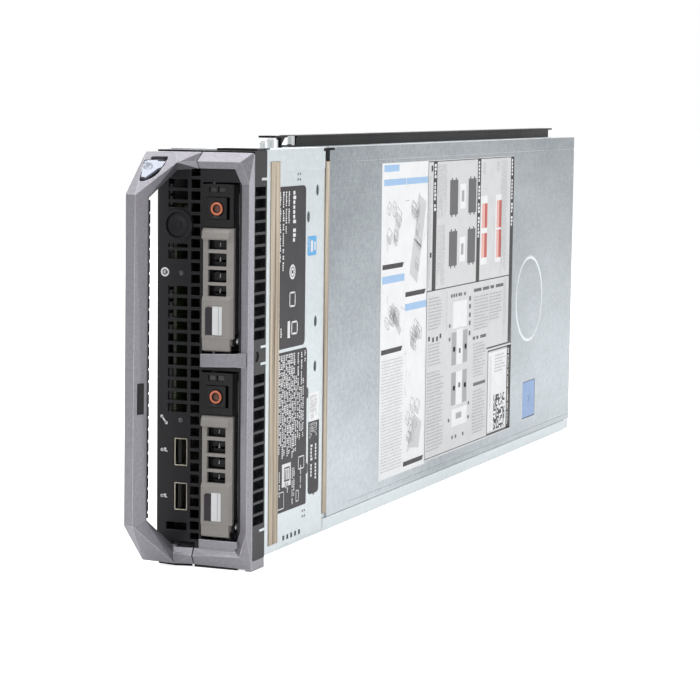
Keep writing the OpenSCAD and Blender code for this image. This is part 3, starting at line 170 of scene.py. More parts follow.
class Tree:
    """A thin hand on a node tree: adds nodes, sets their sockets and links them."""

    def __init__(self, tree: bpy.types.NodeTree) -> None:
        """Keeps the tree that nodes go into."""
        self.tree = tree

    def add(self, kind: str, values: dict | None = None, **props) -> bpy.types.Node:
        """Adds a node.

        Args:
            kind: The node's type name, such as "ShaderNodeBump".
            values: Input name or index to a value, or to an output socket to link.
            props: Plain properties of the node.

        Returns:
            The new node.
        """
        node = self.tree.nodes.new(kind)
        for name, value in props.items():
            setattr(node, name, value)
        for name, value in (values or {}).items():
            if isinstance(value, bpy.types.NodeSocket):
                self.tree.links.new(value, node.inputs[name])
            else:
                node.inputs[name].default_value = value
        return node

    def math(self, operation: str, a: object, b: object = 0.0, clamp: bool = False) -> bpy.types.NodeSocket:
        """Adds a Math node and returns its output."""
        node = self.add("ShaderNodeMath", {0: a, 1: b}, operation=operation, use_clamp=clamp)
        return node.outputs[0]

    def ramp(self, factor: object, stops: Sequence[tuple[float, float]]) -> bpy.types.NodeSocket:
        """Adds a grey colour ramp and returns its output.

        Args:
            factor: The socket that drives it.
            stops: Places and grey values.

        Returns:
            The ramp's colour output.
        """
        node = self.add("ShaderNodeValToRGB", {"Fac": factor})
        points = node.color_ramp.elements
        while len(points) < len(stops):
            points.new(0.5)
        for point, (place, grey) in zip(points, stops):
            point.position = place
            point.color = (grey, grey, grey, 1.0)
        return node.outputs["Color"]

    def mix(self, factor: object, a: object, b: object, blend: str = "MIX") -> bpy.types.NodeSocket:
        """Adds a colour Mix node and returns its output."""
        node = self.add("ShaderNodeMix", data_type="RGBA", blend_type=blend)
        for socket, value in zip((node.inputs[0], node.inputs[6], node.inputs[7]), (factor, a, b)):
            if isinstance(value, bpy.types.NodeSocket):
                self.tree.links.new(value, socket)
            elif isinstance(value, tuple) and len(value) == 3:
                socket.default_value = (*value, 1.0)
            else:
                socket.default_value = value
        return node.outputs[2]


class Effect(ABC):
    """A shader node group with named sockets, built once and used by many finishes."""

    name: str = ""
    inputs: tuple[tuple[str, float], ...] = ()
    outputs: tuple[tuple[str, str], ...] = ()

    @classmethod
    def group(cls) -> bpy.types.NodeTree:
        """Returns the node group, building it the first time."""
        found = bpy.data.node_groups.get(cls.name)
        if found:
            return found
        tree = bpy.data.node_groups.new(cls.name, "ShaderNodeTree")
        for label, value in cls.inputs:
            socket = tree.interface.new_socket(label, in_out="INPUT", socket_type="NodeSocketFloat")
            socket.default_value = value
        for label, kind in cls.outputs:
            tree.interface.new_socket(label, in_out="OUTPUT", socket_type=kind)
        into = tree.nodes.new("NodeGroupInput")
        out = tree.nodes.new("NodeGroupOutput")
        for label, socket in cls.wire(Tree(tree), into.outputs).items():
            tree.links.new(socket, out.inputs[label])
        return tree

    @classmethod
    @abstractmethod
    def wire(cls, tree: Tree, given: bpy.types.NodeInputs) -> dict[str, bpy.types.NodeSocket]:
        """Adds the group's nodes and returns a socket for each output name."""

    @classmethod
    def use(cls, tree: Tree, **values: float) -> bpy.types.Node:
        """Places the group in a material.

        Args:
            tree: The material's tree.
            values: Input values by name, with underscores for spaces.

        Returns:
            The group node.
        """
        node = tree.add("ShaderNodeGroup", node_tree=cls.group())
        for label, value in values.items():
            node.inputs[label.replace("_", " ")].default_value = value
        return node


class Speckle(Effect):
    """Fine grain, as of metallic paint or textured plastic."""

    name = "speckle"
    inputs = (("Size", 0.4), ("Contrast", 0.5))
    outputs = (("Mask", "NodeSocketFloat"), ("Height", "NodeSocketFloat"))

    @classmethod
    def wire(cls, tree: Tree, given: bpy.types.NodeInputs) -> dict[str, bpy.types.NodeSocket]:
        """Two noises, one fine and one coarser, in object space. Size is in millimetres."""
        place = tree.add("ShaderNodeTexCoord").outputs["Object"]
        scale = tree.math("DIVIDE", 1 / MM, given["Size"])
        fine = tree.add("ShaderNodeTexNoise", {"Vector": place, "Scale": scale, "Detail": 2.0})
        coarse_scale = tree.math("MULTIPLY", scale, 0.23)
        coarse = tree.add("ShaderNodeTexNoise", {"Vector": place, "Scale": coarse_scale, "Detail": 1.0})
        both = tree.math("ADD", tree.math("MULTIPLY", fine.outputs["Fac"], 0.7),
                         tree.math("MULTIPLY", coarse.outputs["Fac"], 0.3))
        spread = tree.math("MULTIPLY", tree.math("SUBTRACT", both, 0.5), given["Contrast"])
        mask = tree.math("ADD", tree.math("MULTIPLY", spread, 2.0), 0.5, clamp=True)
        return {"Mask": mask, "Height": both}


class EdgeWearAndHighlight(Effect):
    """Finds outer edges and breaks them up, for worn paint and rounded highlights; finishes mix a lighter colour in by
    its mask, as painted edge highlight as well as wear.
    """

    name = "edge_wear_and_highlight"
    inputs = (("Radius", 0.5), ("Amount", 1.0), ("Breakup", 0.4))
    outputs = (("Mask", "NodeSocketFloat"), ("Normal", "NodeSocketVector"))

    @classmethod
    def wire(cls, tree: Tree, given: bpy.types.NodeInputs) -> dict[str, bpy.types.NodeSocket]:
        """Compares the true normal with one rounded over Radius millimetres."""
        radius = tree.math("MULTIPLY", given["Radius"], MM)
        rounded = tree.add("ShaderNodeBevel", {"Radius": radius}, samples=4)
        flat = tree.add("ShaderNodeNewGeometry").outputs["True Normal"]
        dot = tree.add("ShaderNodeVectorMath", {0: rounded.outputs[0], 1: flat}, operation="DOT_PRODUCT")
        bend = tree.math("SUBTRACT", 1.0, dot.outputs["Value"])
        strong = tree.math("MULTIPLY", bend, 9.0, clamp=True)
        place = tree.add("ShaderNodeTexCoord").outputs["Object"]
        noise = tree.add("ShaderNodeTexNoise", {"Vector": place, "Scale": 900.0, "Detail": 4.0})
        rough = tree.math("SUBTRACT", noise.outputs["Fac"], 0.5)
        broken = tree.math("ADD", 1.0, tree.math("MULTIPLY", tree.math("MULTIPLY", rough, 4.0), given["Breakup"]))
        mask = tree.math("MULTIPLY", tree.math("MULTIPLY", strong, broken, clamp=True), given["Amount"], clamp=True)
        return {"Mask": mask, "Normal": rounded.outputs[0]}


class Clouds(Effect):
    """Broad soft patches, as of handling marks or a rolled sheet's uneven zinc."""

    name = "clouds"
    inputs = (("Size", 60.0), ("Stretch", 1.0), ("Contrast", 0.6))
    outputs = (("Mask", "NodeSocketFloat"),)

    @classmethod
    def wire(cls, tree: Tree, given: bpy.types.NodeInputs) -> dict[str, bpy.types.NodeSocket]:
        """A detailed noise in object space, stretched along the sled."""
        place = tree.add("ShaderNodeTexCoord").outputs["Object"]
        along = tree.math("DIVIDE", 1.0, given["Stretch"])
        squeeze = tree.add("ShaderNodeCombineXYZ", {0: 1.0, 1: along, 2: 1.0})
        warped = tree.add("ShaderNodeVectorMath", {0: place, 1: squeeze.outputs[0]}, operation="MULTIPLY")
        scale = tree.math("DIVIDE", 1 / MM, given["Size"])
        noise = tree.add("ShaderNodeTexNoise", {"Vector": warped.outputs[0], "Scale": scale, "Detail": 5.0,
                                                "Roughness": 0.55})
        spread = tree.math("MULTIPLY", tree.math("SUBTRACT", noise.outputs["Fac"], 0.5), given["Contrast"])
        return {"Mask": tree.math("ADD", tree.math("MULTIPLY", spread, 3.0), 0.5, clamp=True)}


class Spangle(Effect):
    """The small crystal facets of galvanised sheet, with fine rolling lines."""

    name = "spangle"
    inputs = (("Size", 3.0),)
    outputs = (("Mask", "NodeSocketFloat"), ("Height", "NodeSocketFloat"))

    @classmethod
    def wire(cls, tree: Tree, given: bpy.types.NodeInputs) -> dict[str, bpy.types.NodeSocket]:
        """Cell noise for the crystals and a stretched noise for the rolling lines."""
        place = tree.add("ShaderNodeTexCoord").outputs["Object"]
        scale = tree.math("DIVIDE", 1 / MM, given["Size"])
        cells = tree.add("ShaderNodeTexVoronoi", {"Vector": place, "Scale": scale, "Randomness": 1.0})
        grey = tree.add("ShaderNodeSeparateColor", {"Color": cells.outputs["Color"]})
        lines = tree.add("ShaderNodeMapping", {"Vector": place, "Scale": (900.0, 30.0, 2600.0)})
        rolled = tree.add("ShaderNodeTexNoise", {"Vector": lines.outputs[0], "Scale": 1.0, "Detail": 3.0})
        mask = tree.math("ADD", tree.math("MULTIPLY", grey.outputs[0], 0.45),
                         tree.math("MULTIPLY", rolled.outputs["Fac"], 0.55))
        return {"Mask": mask, "Height": rolled.outputs["Fac"]}


class Tracks(Effect):
    """Copper tracks and small parts of a circuit board."""

    name = "tracks"
    inputs = (("Pitch", 2.2),)
    outputs = (("Tracks", "NodeSocketFloat"), ("Parts", "NodeSocketFloat"))

    @classmethod
    def wire(cls, tree: Tree, given: bpy.types.NodeInputs) -> dict[str, bpy.types.NodeSocket]:
        """Warped bands for tracks and sparse cells for parts."""
        place = tree.add("ShaderNodeTexCoord").outputs["Object"]
        scale = tree.math("DIVIDE", 1 / MM, given["Pitch"])
        cells = tree.add("ShaderNodeTexVoronoi", {"Vector": place, "Scale": tree.math("MULTIPLY", scale, 0.16)},
                         distance="CHEBYCHEV")
        apart = tree.add("ShaderNodeSeparateXYZ", {0: place})
        tint = tree.add("ShaderNodeSeparateColor", {"Color": cells.outputs["Color"]})
        turned = tree.math("GREATER_THAN", tint.outputs[0], 0.5)
        across = tree.add("ShaderNodeMix", {0: turned, 2: apart.outputs[1], 3: apart.outputs[2]})
        wave = tree.math("FRACT", tree.math("MULTIPLY", across.outputs[0], scale))
        tracks = tree.math("GREATER_THAN", wave, 0.55)
        small = tree.add("ShaderNodeTexVoronoi", {"Vector": place, "Scale": tree.math("MULTIPLY", scale, 0.45)},
                         distance="CHEBYCHEV")
        parts = tree.math("LESS_THAN", small.outputs["Distance"], 0.16)
        return {"Tracks": tracks, "Parts": parts}


# ------------------------------------------------------------------------------- finishes


@dataclass(frozen=True)
class Finish(ABC):
    """A surface finish. Its material is built the first time it is asked for."""

    name: str
    colour: Colour
    roughness: float = 0.5

    def material(self) -> bpy.types.Material:
        """Returns the finish's material."""
        found = bpy.data.materials.get(self.name)
        if found:
            return found
        made = bpy.data.materials.new(self.name)
        made.use_nodes = True
        made.node_tree.nodes.clear()
        made.diffuse_color = (*self.colour, 1.0)
        tree = Tree(made.node_tree)
        shader = tree.add("ShaderNodeBsdfPrincipled", {"Base Color": (*self.colour, 1.0),
                                                       "Roughness": self.roughness})
        tree.add("ShaderNodeOutputMaterial", {"Surface": shader.outputs[0]})
        self.dress(tree, shader)
        return made

    @abstractmethod
    def dress(self, tree: Tree, shader: bpy.types.Node) -> None:
        """Sets the shader's sockets and adds the pattern nodes.

        Args:
            tree: The material's tree.
            shader: Its Principled shader.
        """

    def bump(self, tree: Tree, shader: bpy.types.Node, height: object, depth: float, normal: object = None) -> None:
        """Feeds a height, in millimetres of depth, into the shader's normal."""
        values = {"Height": height, "Distance": depth * MM, "Strength": 1.0}
        if normal is not None:
            values["Normal"] = normal
        made = tree.add("ShaderNodeBump", values)
        tree.tree.links.new(made.outputs[0], shader.inputs["Normal"])


def link(tree: Tree, value: bpy.types.NodeSocket, shader: bpy.types.Node, socket: str) -> None:
    """Links a value to one of the shader's sockets."""
    tree.tree.links.new(value, shader.inputs[socket])


@dataclass(frozen=True)
class MetallicPaint(Finish):
    """Sprayed silver with metal flake, brighter on its edges as painted highlight and paint wear."""

    flake: float = 0.35
    metallic: float = 0.6
    # edge: colour of the painted highlight and paint wear on the edges
    edge: Colour = (0.75, 0.74, 0.76)

    def dress(self, tree: Tree, shader: bpy.types.Node) -> None:
        """Flake in the colour and the normal, clouds in the roughness, painted highlight and wear on the edges."""
        shader.inputs["Metallic"].default_value = self.metallic
        flake = Speckle.use(tree, Size=self.flake, Contrast=1.4)
        wear_and_highlight = EdgeWearAndHighlight.use(tree, Radius=0.45, Amount=0.55, Breakup=0.35)
        clouds = Clouds.use(tree, Size=45.0, Contrast=0.35)
        dark = tuple(c * 0.82 for c in self.colour)
        light = tuple(min(1.0, c * 1.16) for c in self.colour)
        base = tree.mix(flake.outputs["Mask"], dark, light)
        # lighter colour on the edges: painted edge highlight as well as paint wear
        link(tree, tree.mix(wear_and_highlight.outputs["Mask"], base, self.edge), shader, "Base Color")
        spread = tree.math("MULTIPLY", clouds.outputs["Mask"], 0.10)
        link(tree, tree.math("ADD", spread, self.roughness - 0.05), shader, "Roughness")
        self.bump(tree, shader, flake.outputs["Height"], 0.05, wear_and_highlight.outputs["Normal"])


@dataclass(frozen=True)
class MouldedPlastic(Finish):
    """Moulded plastic with a spark-eroded texture and lighter edges, partly polish and partly painted highlight."""

    grain: float = 0.5
    depth: float = 0.04
    # edge: how much lighter the edges are, as painted highlight and polish
    edge: float = 1.6
    shine: float = 0.5

    def dress(self, tree: Tree, shader: bpy.types.Node) -> None:
        """Texture in the normal, a little in the colour, lighter edges as painted highlight and polish."""
        shader.inputs["Specular IOR Level"].default_value = self.shine
        grain = Speckle.use(tree, Size=self.grain, Contrast=1.0)
        wear_and_highlight = EdgeWearAndHighlight.use(tree, Radius=0.3, Amount=0.5, Breakup=0.2)
        marks = Clouds.use(tree, Size=30.0, Contrast=0.4)
        low = tuple(c * 0.88 for c in self.colour)
        high = tuple(min(1.0, c * 1.12) for c in self.colour)
        # lighter edge colour: painted edge highlight as well as polish
        edge = tuple(min(1.0, c * self.edge) for c in self.colour)
        base = tree.mix(grain.outputs["Mask"], low, high)
        link(tree, tree.mix(wear_and_highlight.outputs["Mask"], base, edge), shader, "Base Color")
        spread = tree.math("MULTIPLY", marks.outputs["Mask"], 0.12)
        link(tree, tree.math("ADD", spread, self.roughness - 0.06), shader, "Roughness")
        self.bump(tree, shader, grain.outputs["Height"], self.depth, wear_and_highlight.outputs["Normal"])


@dataclass(frozen=True)
class ZincSheet(Finish):
    """Galvanised sheet steel: spangle, rolling lines, clouds and bright edges, partly bare cut edge and partly painted
    highlight.
    """

    dark: Colour = (0.4, 0.42, 0.45)
    metallic: float = 0.7
    spangle: float = 2.2
    cloud: float = 70.0
    cloud_depth: float = 0.5

    def dress(self, tree: Tree, shader: bpy.types.Node) -> None:
        """Clouds and spangle mix two greys and vary the roughness."""
        shader.inputs["Metallic"].default_value = self.metallic
        spangle = Spangle.use(tree, Size=self.spangle)
        clouds = Clouds.use(tree, Size=self.cloud, Stretch=2.2, Contrast=self.cloud_depth)
        wear_and_highlight = EdgeWearAndHighlight.use(tree, Radius=0.25, Amount=0.5, Breakup=0.3)
        patchy = tree.math("MULTIPLY", clouds.outputs["Mask"], 0.65)
        grainy = tree.math("MULTIPLY", spangle.outputs["Mask"], 0.5)
        factor = tree.math("ADD", patchy, grainy, clamp=True)
        base = tree.mix(factor, self.dark, self.colour)
        # near-white on the edges: painted edge highlight as well as bare cut edge
        link(tree, tree.mix(wear_and_highlight.outputs["Mask"], base, (0.86, 0.87, 0.88)), shader, "Base Color")
        spread = tree.math("MULTIPLY", factor, 0.14)
        link(tree, tree.math("ADD", spread, self.roughness - 0.07), shader, "Roughness")
        self.bump(tree, shader, spangle.outputs["Height"], 0.012, wear_and_highlight.outputs["Normal"])


@dataclass(frozen=True)
class BareMetal(Finish):
    """Turned, brushed or plated metal."""

    metallic: float = 1.0
    grain: float = 0.3

    def dress(self, tree: Tree, shader: bpy.types.Node) -> None:
        """Fine grain in the colour and the normal, edges brightened as painted highlight and wear."""
        shader.inputs["Metallic"].default_value = self.metallic
        grain = Speckle.use(tree, Size=self.grain, Contrast=1.0)
        wear_and_highlight = EdgeWearAndHighlight.use(tree, Radius=0.2, Amount=0.6, Breakup=0.2)
        dark = tuple(c * 0.85 for c in self.colour)
        # brighter colour for the edges: painted edge highlight as well as wear
        edge_highlight_colour = tuple(min(1.0, c * 1.35) for c in self.colour)
        base = tree.mix(grain.outputs["Mask"], dark, self.colour)
        link(tree, tree.mix(wear_and_highlight.outputs["Mask"], base, edge_highlight_colour), shader, "Base Color")
        self.bump(tree, shader, grain.outputs["Height"], 0.01, wear_and_highlight.outputs["Normal"])


@dataclass(frozen=True)
class FoamStrip(Finish):
    """Conductive fabric over foam: a fine weave with paler high spots."""

    shade: Colour = (0.3, 0.24, 0.18)

    def dress(self, tree: Tree, shader: bpy.types.Node) -> None:
        """Two crossed waves for the weave and long streaks in the colour."""
        shader.inputs["Sheen Weight"].default_value = 0.3
        place = tree.add("ShaderNodeTexCoord").outputs["Object"]
        threads = [tree.add("ShaderNodeTexWave", {"Vector": place, "Scale": 420.0, "Distortion": 0.6},
                            bands_direction=way).outputs["Fac"] for way in ("Y", "Z")]
        weave = tree.math("MULTIPLY", threads[0], threads[1])
        streaks = tree.add("ShaderNodeMapping", {"Vector": place, "Scale": (500.0, 620.0, 14.0)})
        long = tree.add("ShaderNodeTexNoise", {"Vector": streaks.outputs[0], "Scale": 1.0, "Detail": 3.0})
        tone = tree.ramp(long.outputs["Fac"], ((0.36, 0.0), (0.62, 1.0)))
        base = tree.mix(tone, self.shade, self.colour)
        link(tree, tree.mix(tree.math("MULTIPLY", weave, 0.35), base, (0.78, 0.72, 0.64)), shader, "Base Color")
        self.bump(tree, shader, weave, 0.08)


@dataclass(frozen=True)
class CircuitBoard(Finish):
    """Solder resist over tracks, with a scatter of small parts."""

    track: Colour = (0.1, 0.2, 0.07)

    def dress(self, tree: Tree, shader: bpy.types.Node) -> None:
        """Tracks lighten the resist, parts darken it and stand up."""
        shader.inputs["Specular IOR Level"].default_value = 0.3
        tracks = Tracks.use(tree, Pitch=1.6)
        grain = Speckle.use(tree, Size=0.6, Contrast=0.8)
        base = tree.mix(tree.math("MULTIPLY", tracks.outputs["Tracks"], 0.6), self.colour, self.track)
        link(tree, tree.mix(tracks.outputs["Parts"], base, (0.05, 0.05, 0.045)), shader, "Base Color")
        height = tree.math("ADD", tracks.outputs["Parts"], tree.math("MULTIPLY", grain.outputs["Height"], 0.1))
        self.bump(tree, shader, height, 0.2)


@dataclass(frozen=True)
class Print(Finish):
    """Printed film or paper: an even tone with slight mottle and a soft gloss."""

    gloss: float = 0.3
    mottle: float = 0.05

    def dress(self, tree: Tree, shader: bpy.types.Node) -> None:
        """A faint mottle in the tone and the roughness."""
        shader.inputs["Specular IOR Level"].default_value = self.gloss
        clouds = Clouds.use(tree, Size=9.0, Contrast=0.6)
        low = tuple(c * (1 - self.mottle) for c in self.colour)
        high = tuple(min(1.0, c * (1 + self.mottle)) for c in self.colour)
        link(tree, tree.mix(clouds.outputs["Mask"], low, high), shader, "Base Color")
        spread = tree.math("MULTIPLY", clouds.outputs["Mask"], 0.1)
        link(tree, tree.math("ADD", spread, self.roughness - 0.05), shader, "Roughness")


@dataclass(frozen=True)
class ClearPlastic(Finish):
    """Clear moulded plastic that passes some light."""

    def dress(self, tree: Tree, shader: bpy.types.Node) -> None:
        """Part transmission with a faint bump."""
        shader.inputs["Transmission Weight"].default_value = 0.6
        shader.inputs["IOR"].default_value = 1.49
        grain = Speckle.use(tree, Size=1.0, Contrast=0.5)
        self.bump(tree, shader, grain.outputs["Height"], 0.02)


# Edge colours and edge values below lighten each finish's edges: painted highlight as well as wear.
FRAME_SILVER = MetallicPaint("frame_silver", srgb("817f86"), 0.36, metallic=0.6)
BUTTON_SILVER = MetallicPaint("button_silver", srgb("737d90"), 0.32, flake=0.25, metallic=0.75)
BEZEL_BLACK = MouldedPlastic("bezel_black", srgb("1f1e21"), 0.42, grain=0.35, depth=0.03, edge=2.6, shine=0.2)
CARRIER_BLACK = MouldedPlastic("carrier_black", srgb("1b1a1c"), 0.36, grain=0.3, depth=0.02, edge=3.0, shine=0.2)
LEVER_GREY = MouldedPlastic("lever_grey", srgb("9c9894"), 0.44, grain=0.35, depth=0.03, edge=1.5, shine=0.35)
GRIP_RUBBER = MouldedPlastic("grip_rubber", srgb("141315"), 0.7, grain=0.6, depth=0.06, edge=1.8, shine=0.1)
PAD_BLUE = MouldedPlastic("pad_blue", srgb("8eabd6"), 0.5, grain=0.5, depth=0.03, edge=1.15)
COMPONENT_GREY = MouldedPlastic("component_grey", srgb("28282b"), 0.5, edge=1.6, shine=0.25)
SOCKET_IVORY = MouldedPlastic("socket_ivory", srgb("d6d2c6"), 0.5, edge=1.1)
SIDE_STEEL = ZincSheet("side_steel", srgb("d3dadd"), 0.42, dark=srgb("b4bcc0"), metallic=0.45)
COVER_STEEL = ZincSheet("cover_steel", srgb("b4bbc0"), 0.36, dark=srgb("6a7278"), metallic=0.7, cloud=170.0, cloud_depth=1.3)
COVER_BRIGHT = ZincSheet("cover_bright", srgb("d9dfe3"), 0.34, dark=srgb("b9c0c5"), metallic=0.6)
INNER_STEEL = ZincSheet("inner_steel", srgb("b9c0c4"), 0.40, dark=srgb("929a9f"), metallic=0.7)
RAIL_BLACK = MouldedPlastic("rail_black", srgb("121214"), 0.4, grain=0.7, depth=0.02, edge=2.4, shine=0.12)
STUD_STEEL = BareMetal("stud_steel", srgb("d5d8d8"), 0.35, metallic=0.7)
MACHINED_STEEL = BareMetal("machined_steel", srgb("a8acb0"), 0.30)
PORT_PLATING = BareMetal("port_plating", srgb("b3aea0"), 0.28)
CASTING = BareMetal("drive_casting", srgb("8f9498"), 0.5, grain=0.6)
NICKEL = BareMetal("nickel_lid", srgb("c2c4c4"), 0.3)
FIN_ALLOY = BareMetal("fin_alloy", srgb("c3c8cb"), 0.35)
BRASS = BareMetal("brass_post", srgb("c3a86a"), 0.3)
SEAL_FOAM = FoamStrip("seal_foam", srgb("c9bba6"), 0.9, shade=srgb("8d7b68"))
BOARD_GREEN = CircuitBoard("board_green", srgb("1a2614"), 0.4, track=srgb("414a26"))
LAMP_CLEAR = ClearPlastic("lamp_clear", srgb("8b9094"), 0.15)
LAMP_SMOKE = ClearPlastic("lamp_smoke", srgb("2c2f33"), 0.2)
RING_ORANGE = MouldedPlastic("ring_orange", srgb("d2714f"), 0.35, grain=0.4, depth=0.02, edge=1.3)
RING_BROWN = MouldedPlastic("ring_brown", srgb("57301f"), 0.4, grain=0.4, depth=0.02, edge=1.3)
CONTACT_GOLD = BareMetal("contact_gold", srgb("d2a95c"), 0.3)
INK_FAINT = Print("ink_faint", srgb("c3c5c8"), 0.5)
WHITE_STOCK = Print("white_stock", srgb("f1f2f4"), 0.5)
GREY_STOCK = Print("grey_stock", srgb("d9dadb"), 0.5)
BLACK_STOCK = Print("black_stock", srgb("262327"), 0.45, gloss=0.2)
BLUE_STOCK = Print("blue_stock", srgb("58abe2"), 0.4)
# dark steel for the painted shade round the side's holes
COUNTERSINK_SHADE = BareMetal("countersink_painted_shade", srgb("4d5255"), 0.5, metallic=0.5)
PAD_SHADE = MouldedPlastic("pad_shade", srgb("45608f"), 0.5, grain=0.5, depth=0.03, edge=1.15)
INK_WHITE = Print("ink_white", srgb("e6e6e8"), 0.5)
# pale silver for the painted highlights seen through the drive levers' windows
HIGHLIGHT_SILVER = Print("painted_highlight_silver", srgb("cfcfd2"), 0.5)
INK_PALE = Print("ink_pale", srgb("a8a9ab"), 0.5)
INK_GREY = Print("ink_grey", srgb("8e9093"), 0.5)
INK_TINT = Print("ink_tint", srgb("d0d1d3"), 0.5)
INK_SLATE = Print("ink_slate", srgb("5b5b5f"), 0.5)
INK_BLUE = Print("ink_blue", srgb("a4c6ea"), 0.5)
INK_RED = Print("ink_red", srgb("c25a50"), 0.5)
INK_BLUSH = Print("ink_blush", srgb("ecb9b0"), 0.5)
INK_PLUM = Print("ink_plum", srgb("38343a"), 0.4, gloss=0.2)
# ------------------------------------------------------------------- thin pieces and print


@dataclass(frozen=True)
class Plane:
    """A flat face that a thin piece lies on. Its out direction is across x up.

    Attributes:
        datum: Where the sled's axes lie.
        origin: A point of the face, in millimetres.
        across: The face's first direction.
        up: The face's second direction.
    """

    datum: Datum
    origin: Point
    across: Point = (0.0, 1.0, 0.0)
    up: Point = (0.0, 0.0, 1.0)

    def at(self, u: float, v: float, lift: float = 0.0) -> Vector:
        """Returns the point u across, v up and lift above the face, in the row's frame."""
        across, up = Vector(self.across), Vector(self.up)
        return self.datum.at(Vector(self.origin) + across * u + up * v + across.cross(up) * lift)


def add_piece(name: str, points: Sequence[Vector], faces: Sequence[Sequence[int]], finish: Finish,
              body: Body, slot: Slot) -> bpy.types.Object:
    """Makes a piece from points and faces and gives it its body and finish.

    Args:
        name: The piece's name.
        points: Its points in the row's frame, in metres.
        faces: Corner numbers of its faces.
        finish: What it is made of.
        body: The body that it moves with.
        slot: Not used.

    Returns:
        The new object.
    """
    mesh = bpy.data.meshes.new(name)
    mesh.from_pydata([tuple(p) for p in points], [], [tuple(f) for f in faces])
    mesh.materials.append(finish.material())
    piece = bpy.data.objects.new(name, mesh)
    bpy.context.scene.collection.objects.link(piece)
    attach(piece, body.value)
    log.info("%s: %d faces", name, len(faces))
    return piece


@dataclass
class Ink:
    """Flat marks of one finish on one face, joined in a single thin piece."""

    name: str
    finish: Finish
    body: Body = Body.SLED
    slot: Slot = Slot.LABEL
    lift: float = 0.12
    shapes: list[list[tuple[float, float]]] = field(default_factory=list)

    def box(self, u0: float, v0: float, u1: float, v1: float) -> None:
        """Adds an upright rectangle."""
        self.shapes.append([(u0, v0), (u1, v0), (u1, v1), (u0, v1)])

    def boxes(self, places: Iterable[tuple[float, float, float, float]]) -> None:
        """Adds several upright rectangles."""
        for place in places:
            self.box(*place)

    def stroke(self, a: tuple[float, float], b: tuple[float, float], width: float) -> None:
        """Adds a thin straight line."""
        side = Vector((a[1] - b[1], b[0] - a[0])).normalized() * width / 2
        self.shapes.append([(a[0] - side.x, a[1] - side.y), (b[0] - side.x, b[1] - side.y),
                            (b[0] + side.x, b[1] + side.y), (a[0] + side.x, a[1] + side.y)])

    def outline(self, u0: float, v0: float, u1: float, v1: float, width: float) -> None:
        """Adds the four sides of a rectangle."""
        self.boxes([(u0, v0, u1, v0 + width), (u0, v1 - width, u1, v1),
                    (u0, v0, u0 + width, v1), (u1 - width, v0, u1, v1)])

    def ring(self, u: float, v: float, outer: float, inner: float = 0.0, steps: int = 32) -> None:
        """Adds a ring, or a disc where inner is 0."""
        turn = [(math.cos(2 * math.pi * i / steps), math.sin(2 * math.pi * i / steps)) for i in range(steps)]
        if not inner:
            self.shapes.append([(u + outer * c, v + outer * s) for c, s in turn])
            return
        for (c0, s0), (c1, s1) in zip(turn, turn[1:] + turn[:1]):
            self.shapes.append([(u + inner * c0, v + inner * s0), (u + outer * c0, v + outer * s0),
                                (u + outer * c1, v + outer * s1), (u + inner * c1, v + inner * s1)])

    def words(self, area: tuple[float, float, float, float], size: float, pitch: float,
              seed: int, down: bool = False, fill: float = 0.8) -> None:
        """Fills an area with rows of small dashes that stand for words.

        Args:
            area: Lowest and highest corner of the area.
            size: Height of a dash.
            pitch: Distance from row to row.
            seed: Seed of the dashes' lengths.
            down: Whether the rows run down the face instead of across it.
            fill: How much of its length the last part of a row fills on average.
        """
        dice = random.Random(seed)
        u0, v0, u1, v1 = area
        rows = max(1, int(((u1 - u0) if down else (v1 - v0)) / pitch + 0.05))
        length = (v1 - v0) if down else (u1 - u0)
        for row in range(rows):
            at, end = 0.0, length * min(1.0, dice.uniform(2 * fill - 1, 1.25))
            while at < end - size:
                word = dice.randint(2, 7)
                for _ in range(word):
                    tall = size * dice.choice((0.7, 0.7, 1.0))
                    a, b = at, min(at + size * 0.52, length)
                    if down:
                        low = u0 + row * pitch
                        self.box(low, v1 - b, low + tall, v1 - a)
                    else:
                        low = v1 - row * pitch - size
                        self.box(u0 + a, low, u0 + b, low + tall)
                    at += size * 0.7
                    if at > end:
                        break
                at += size * 0.6

    def crate(self, u: float, v: float, size: tuple[float, float, float], width: float, bars: int = 0) -> None:
        """Adds the outline of a box seen from a corner, with bars on its long side.

        Args:
            u: Place across of its low corner.
            v: Place up of its low corner.
            size: Its length, its depth and its height.
            width: Width of the lines.
            bars: How many bars its side has.
        """
        long, deep, tall = size
        a, b = Vector((0.87, -0.5)) * long, Vector((0.5, 0.62)) * deep
        low, up = Vector((u, v)), Vector((0.0, tall))
        corners_of = [low, low + a, low + a + b, low + b]
        for i, (p, q) in enumerate(zip(corners_of, corners_of[1:] + corners_of[:1])):
            self.stroke(tuple(p + up), tuple(q + up), width)
            if i in (0, 1):
                self.stroke(tuple(p), tuple(q), width)
            if i < 3:
                self.stroke(tuple(p), tuple(p + up), width)
        for i in range(bars):
            p = low + a * ((i + 1) / (bars + 1)) + up * 0.2
            self.stroke(tuple(p), tuple(p + up * 0.6), width)

    def build(self, plane: Plane) -> bpy.types.Object:
        """Makes the marks on a face.

        Args:
            plane: The face that they lie on.

        Returns:
            The new object.
        """
        points: list[Vector] = []
        faces: list[range] = []
        for shape in self.shapes:
            faces.append(range(len(points), len(points) + len(shape)))
            points += [plane.at(u, v, self.lift) for u, v in shape]
        return add_piece(self.name, points, faces, self.finish, self.body, self.slot)


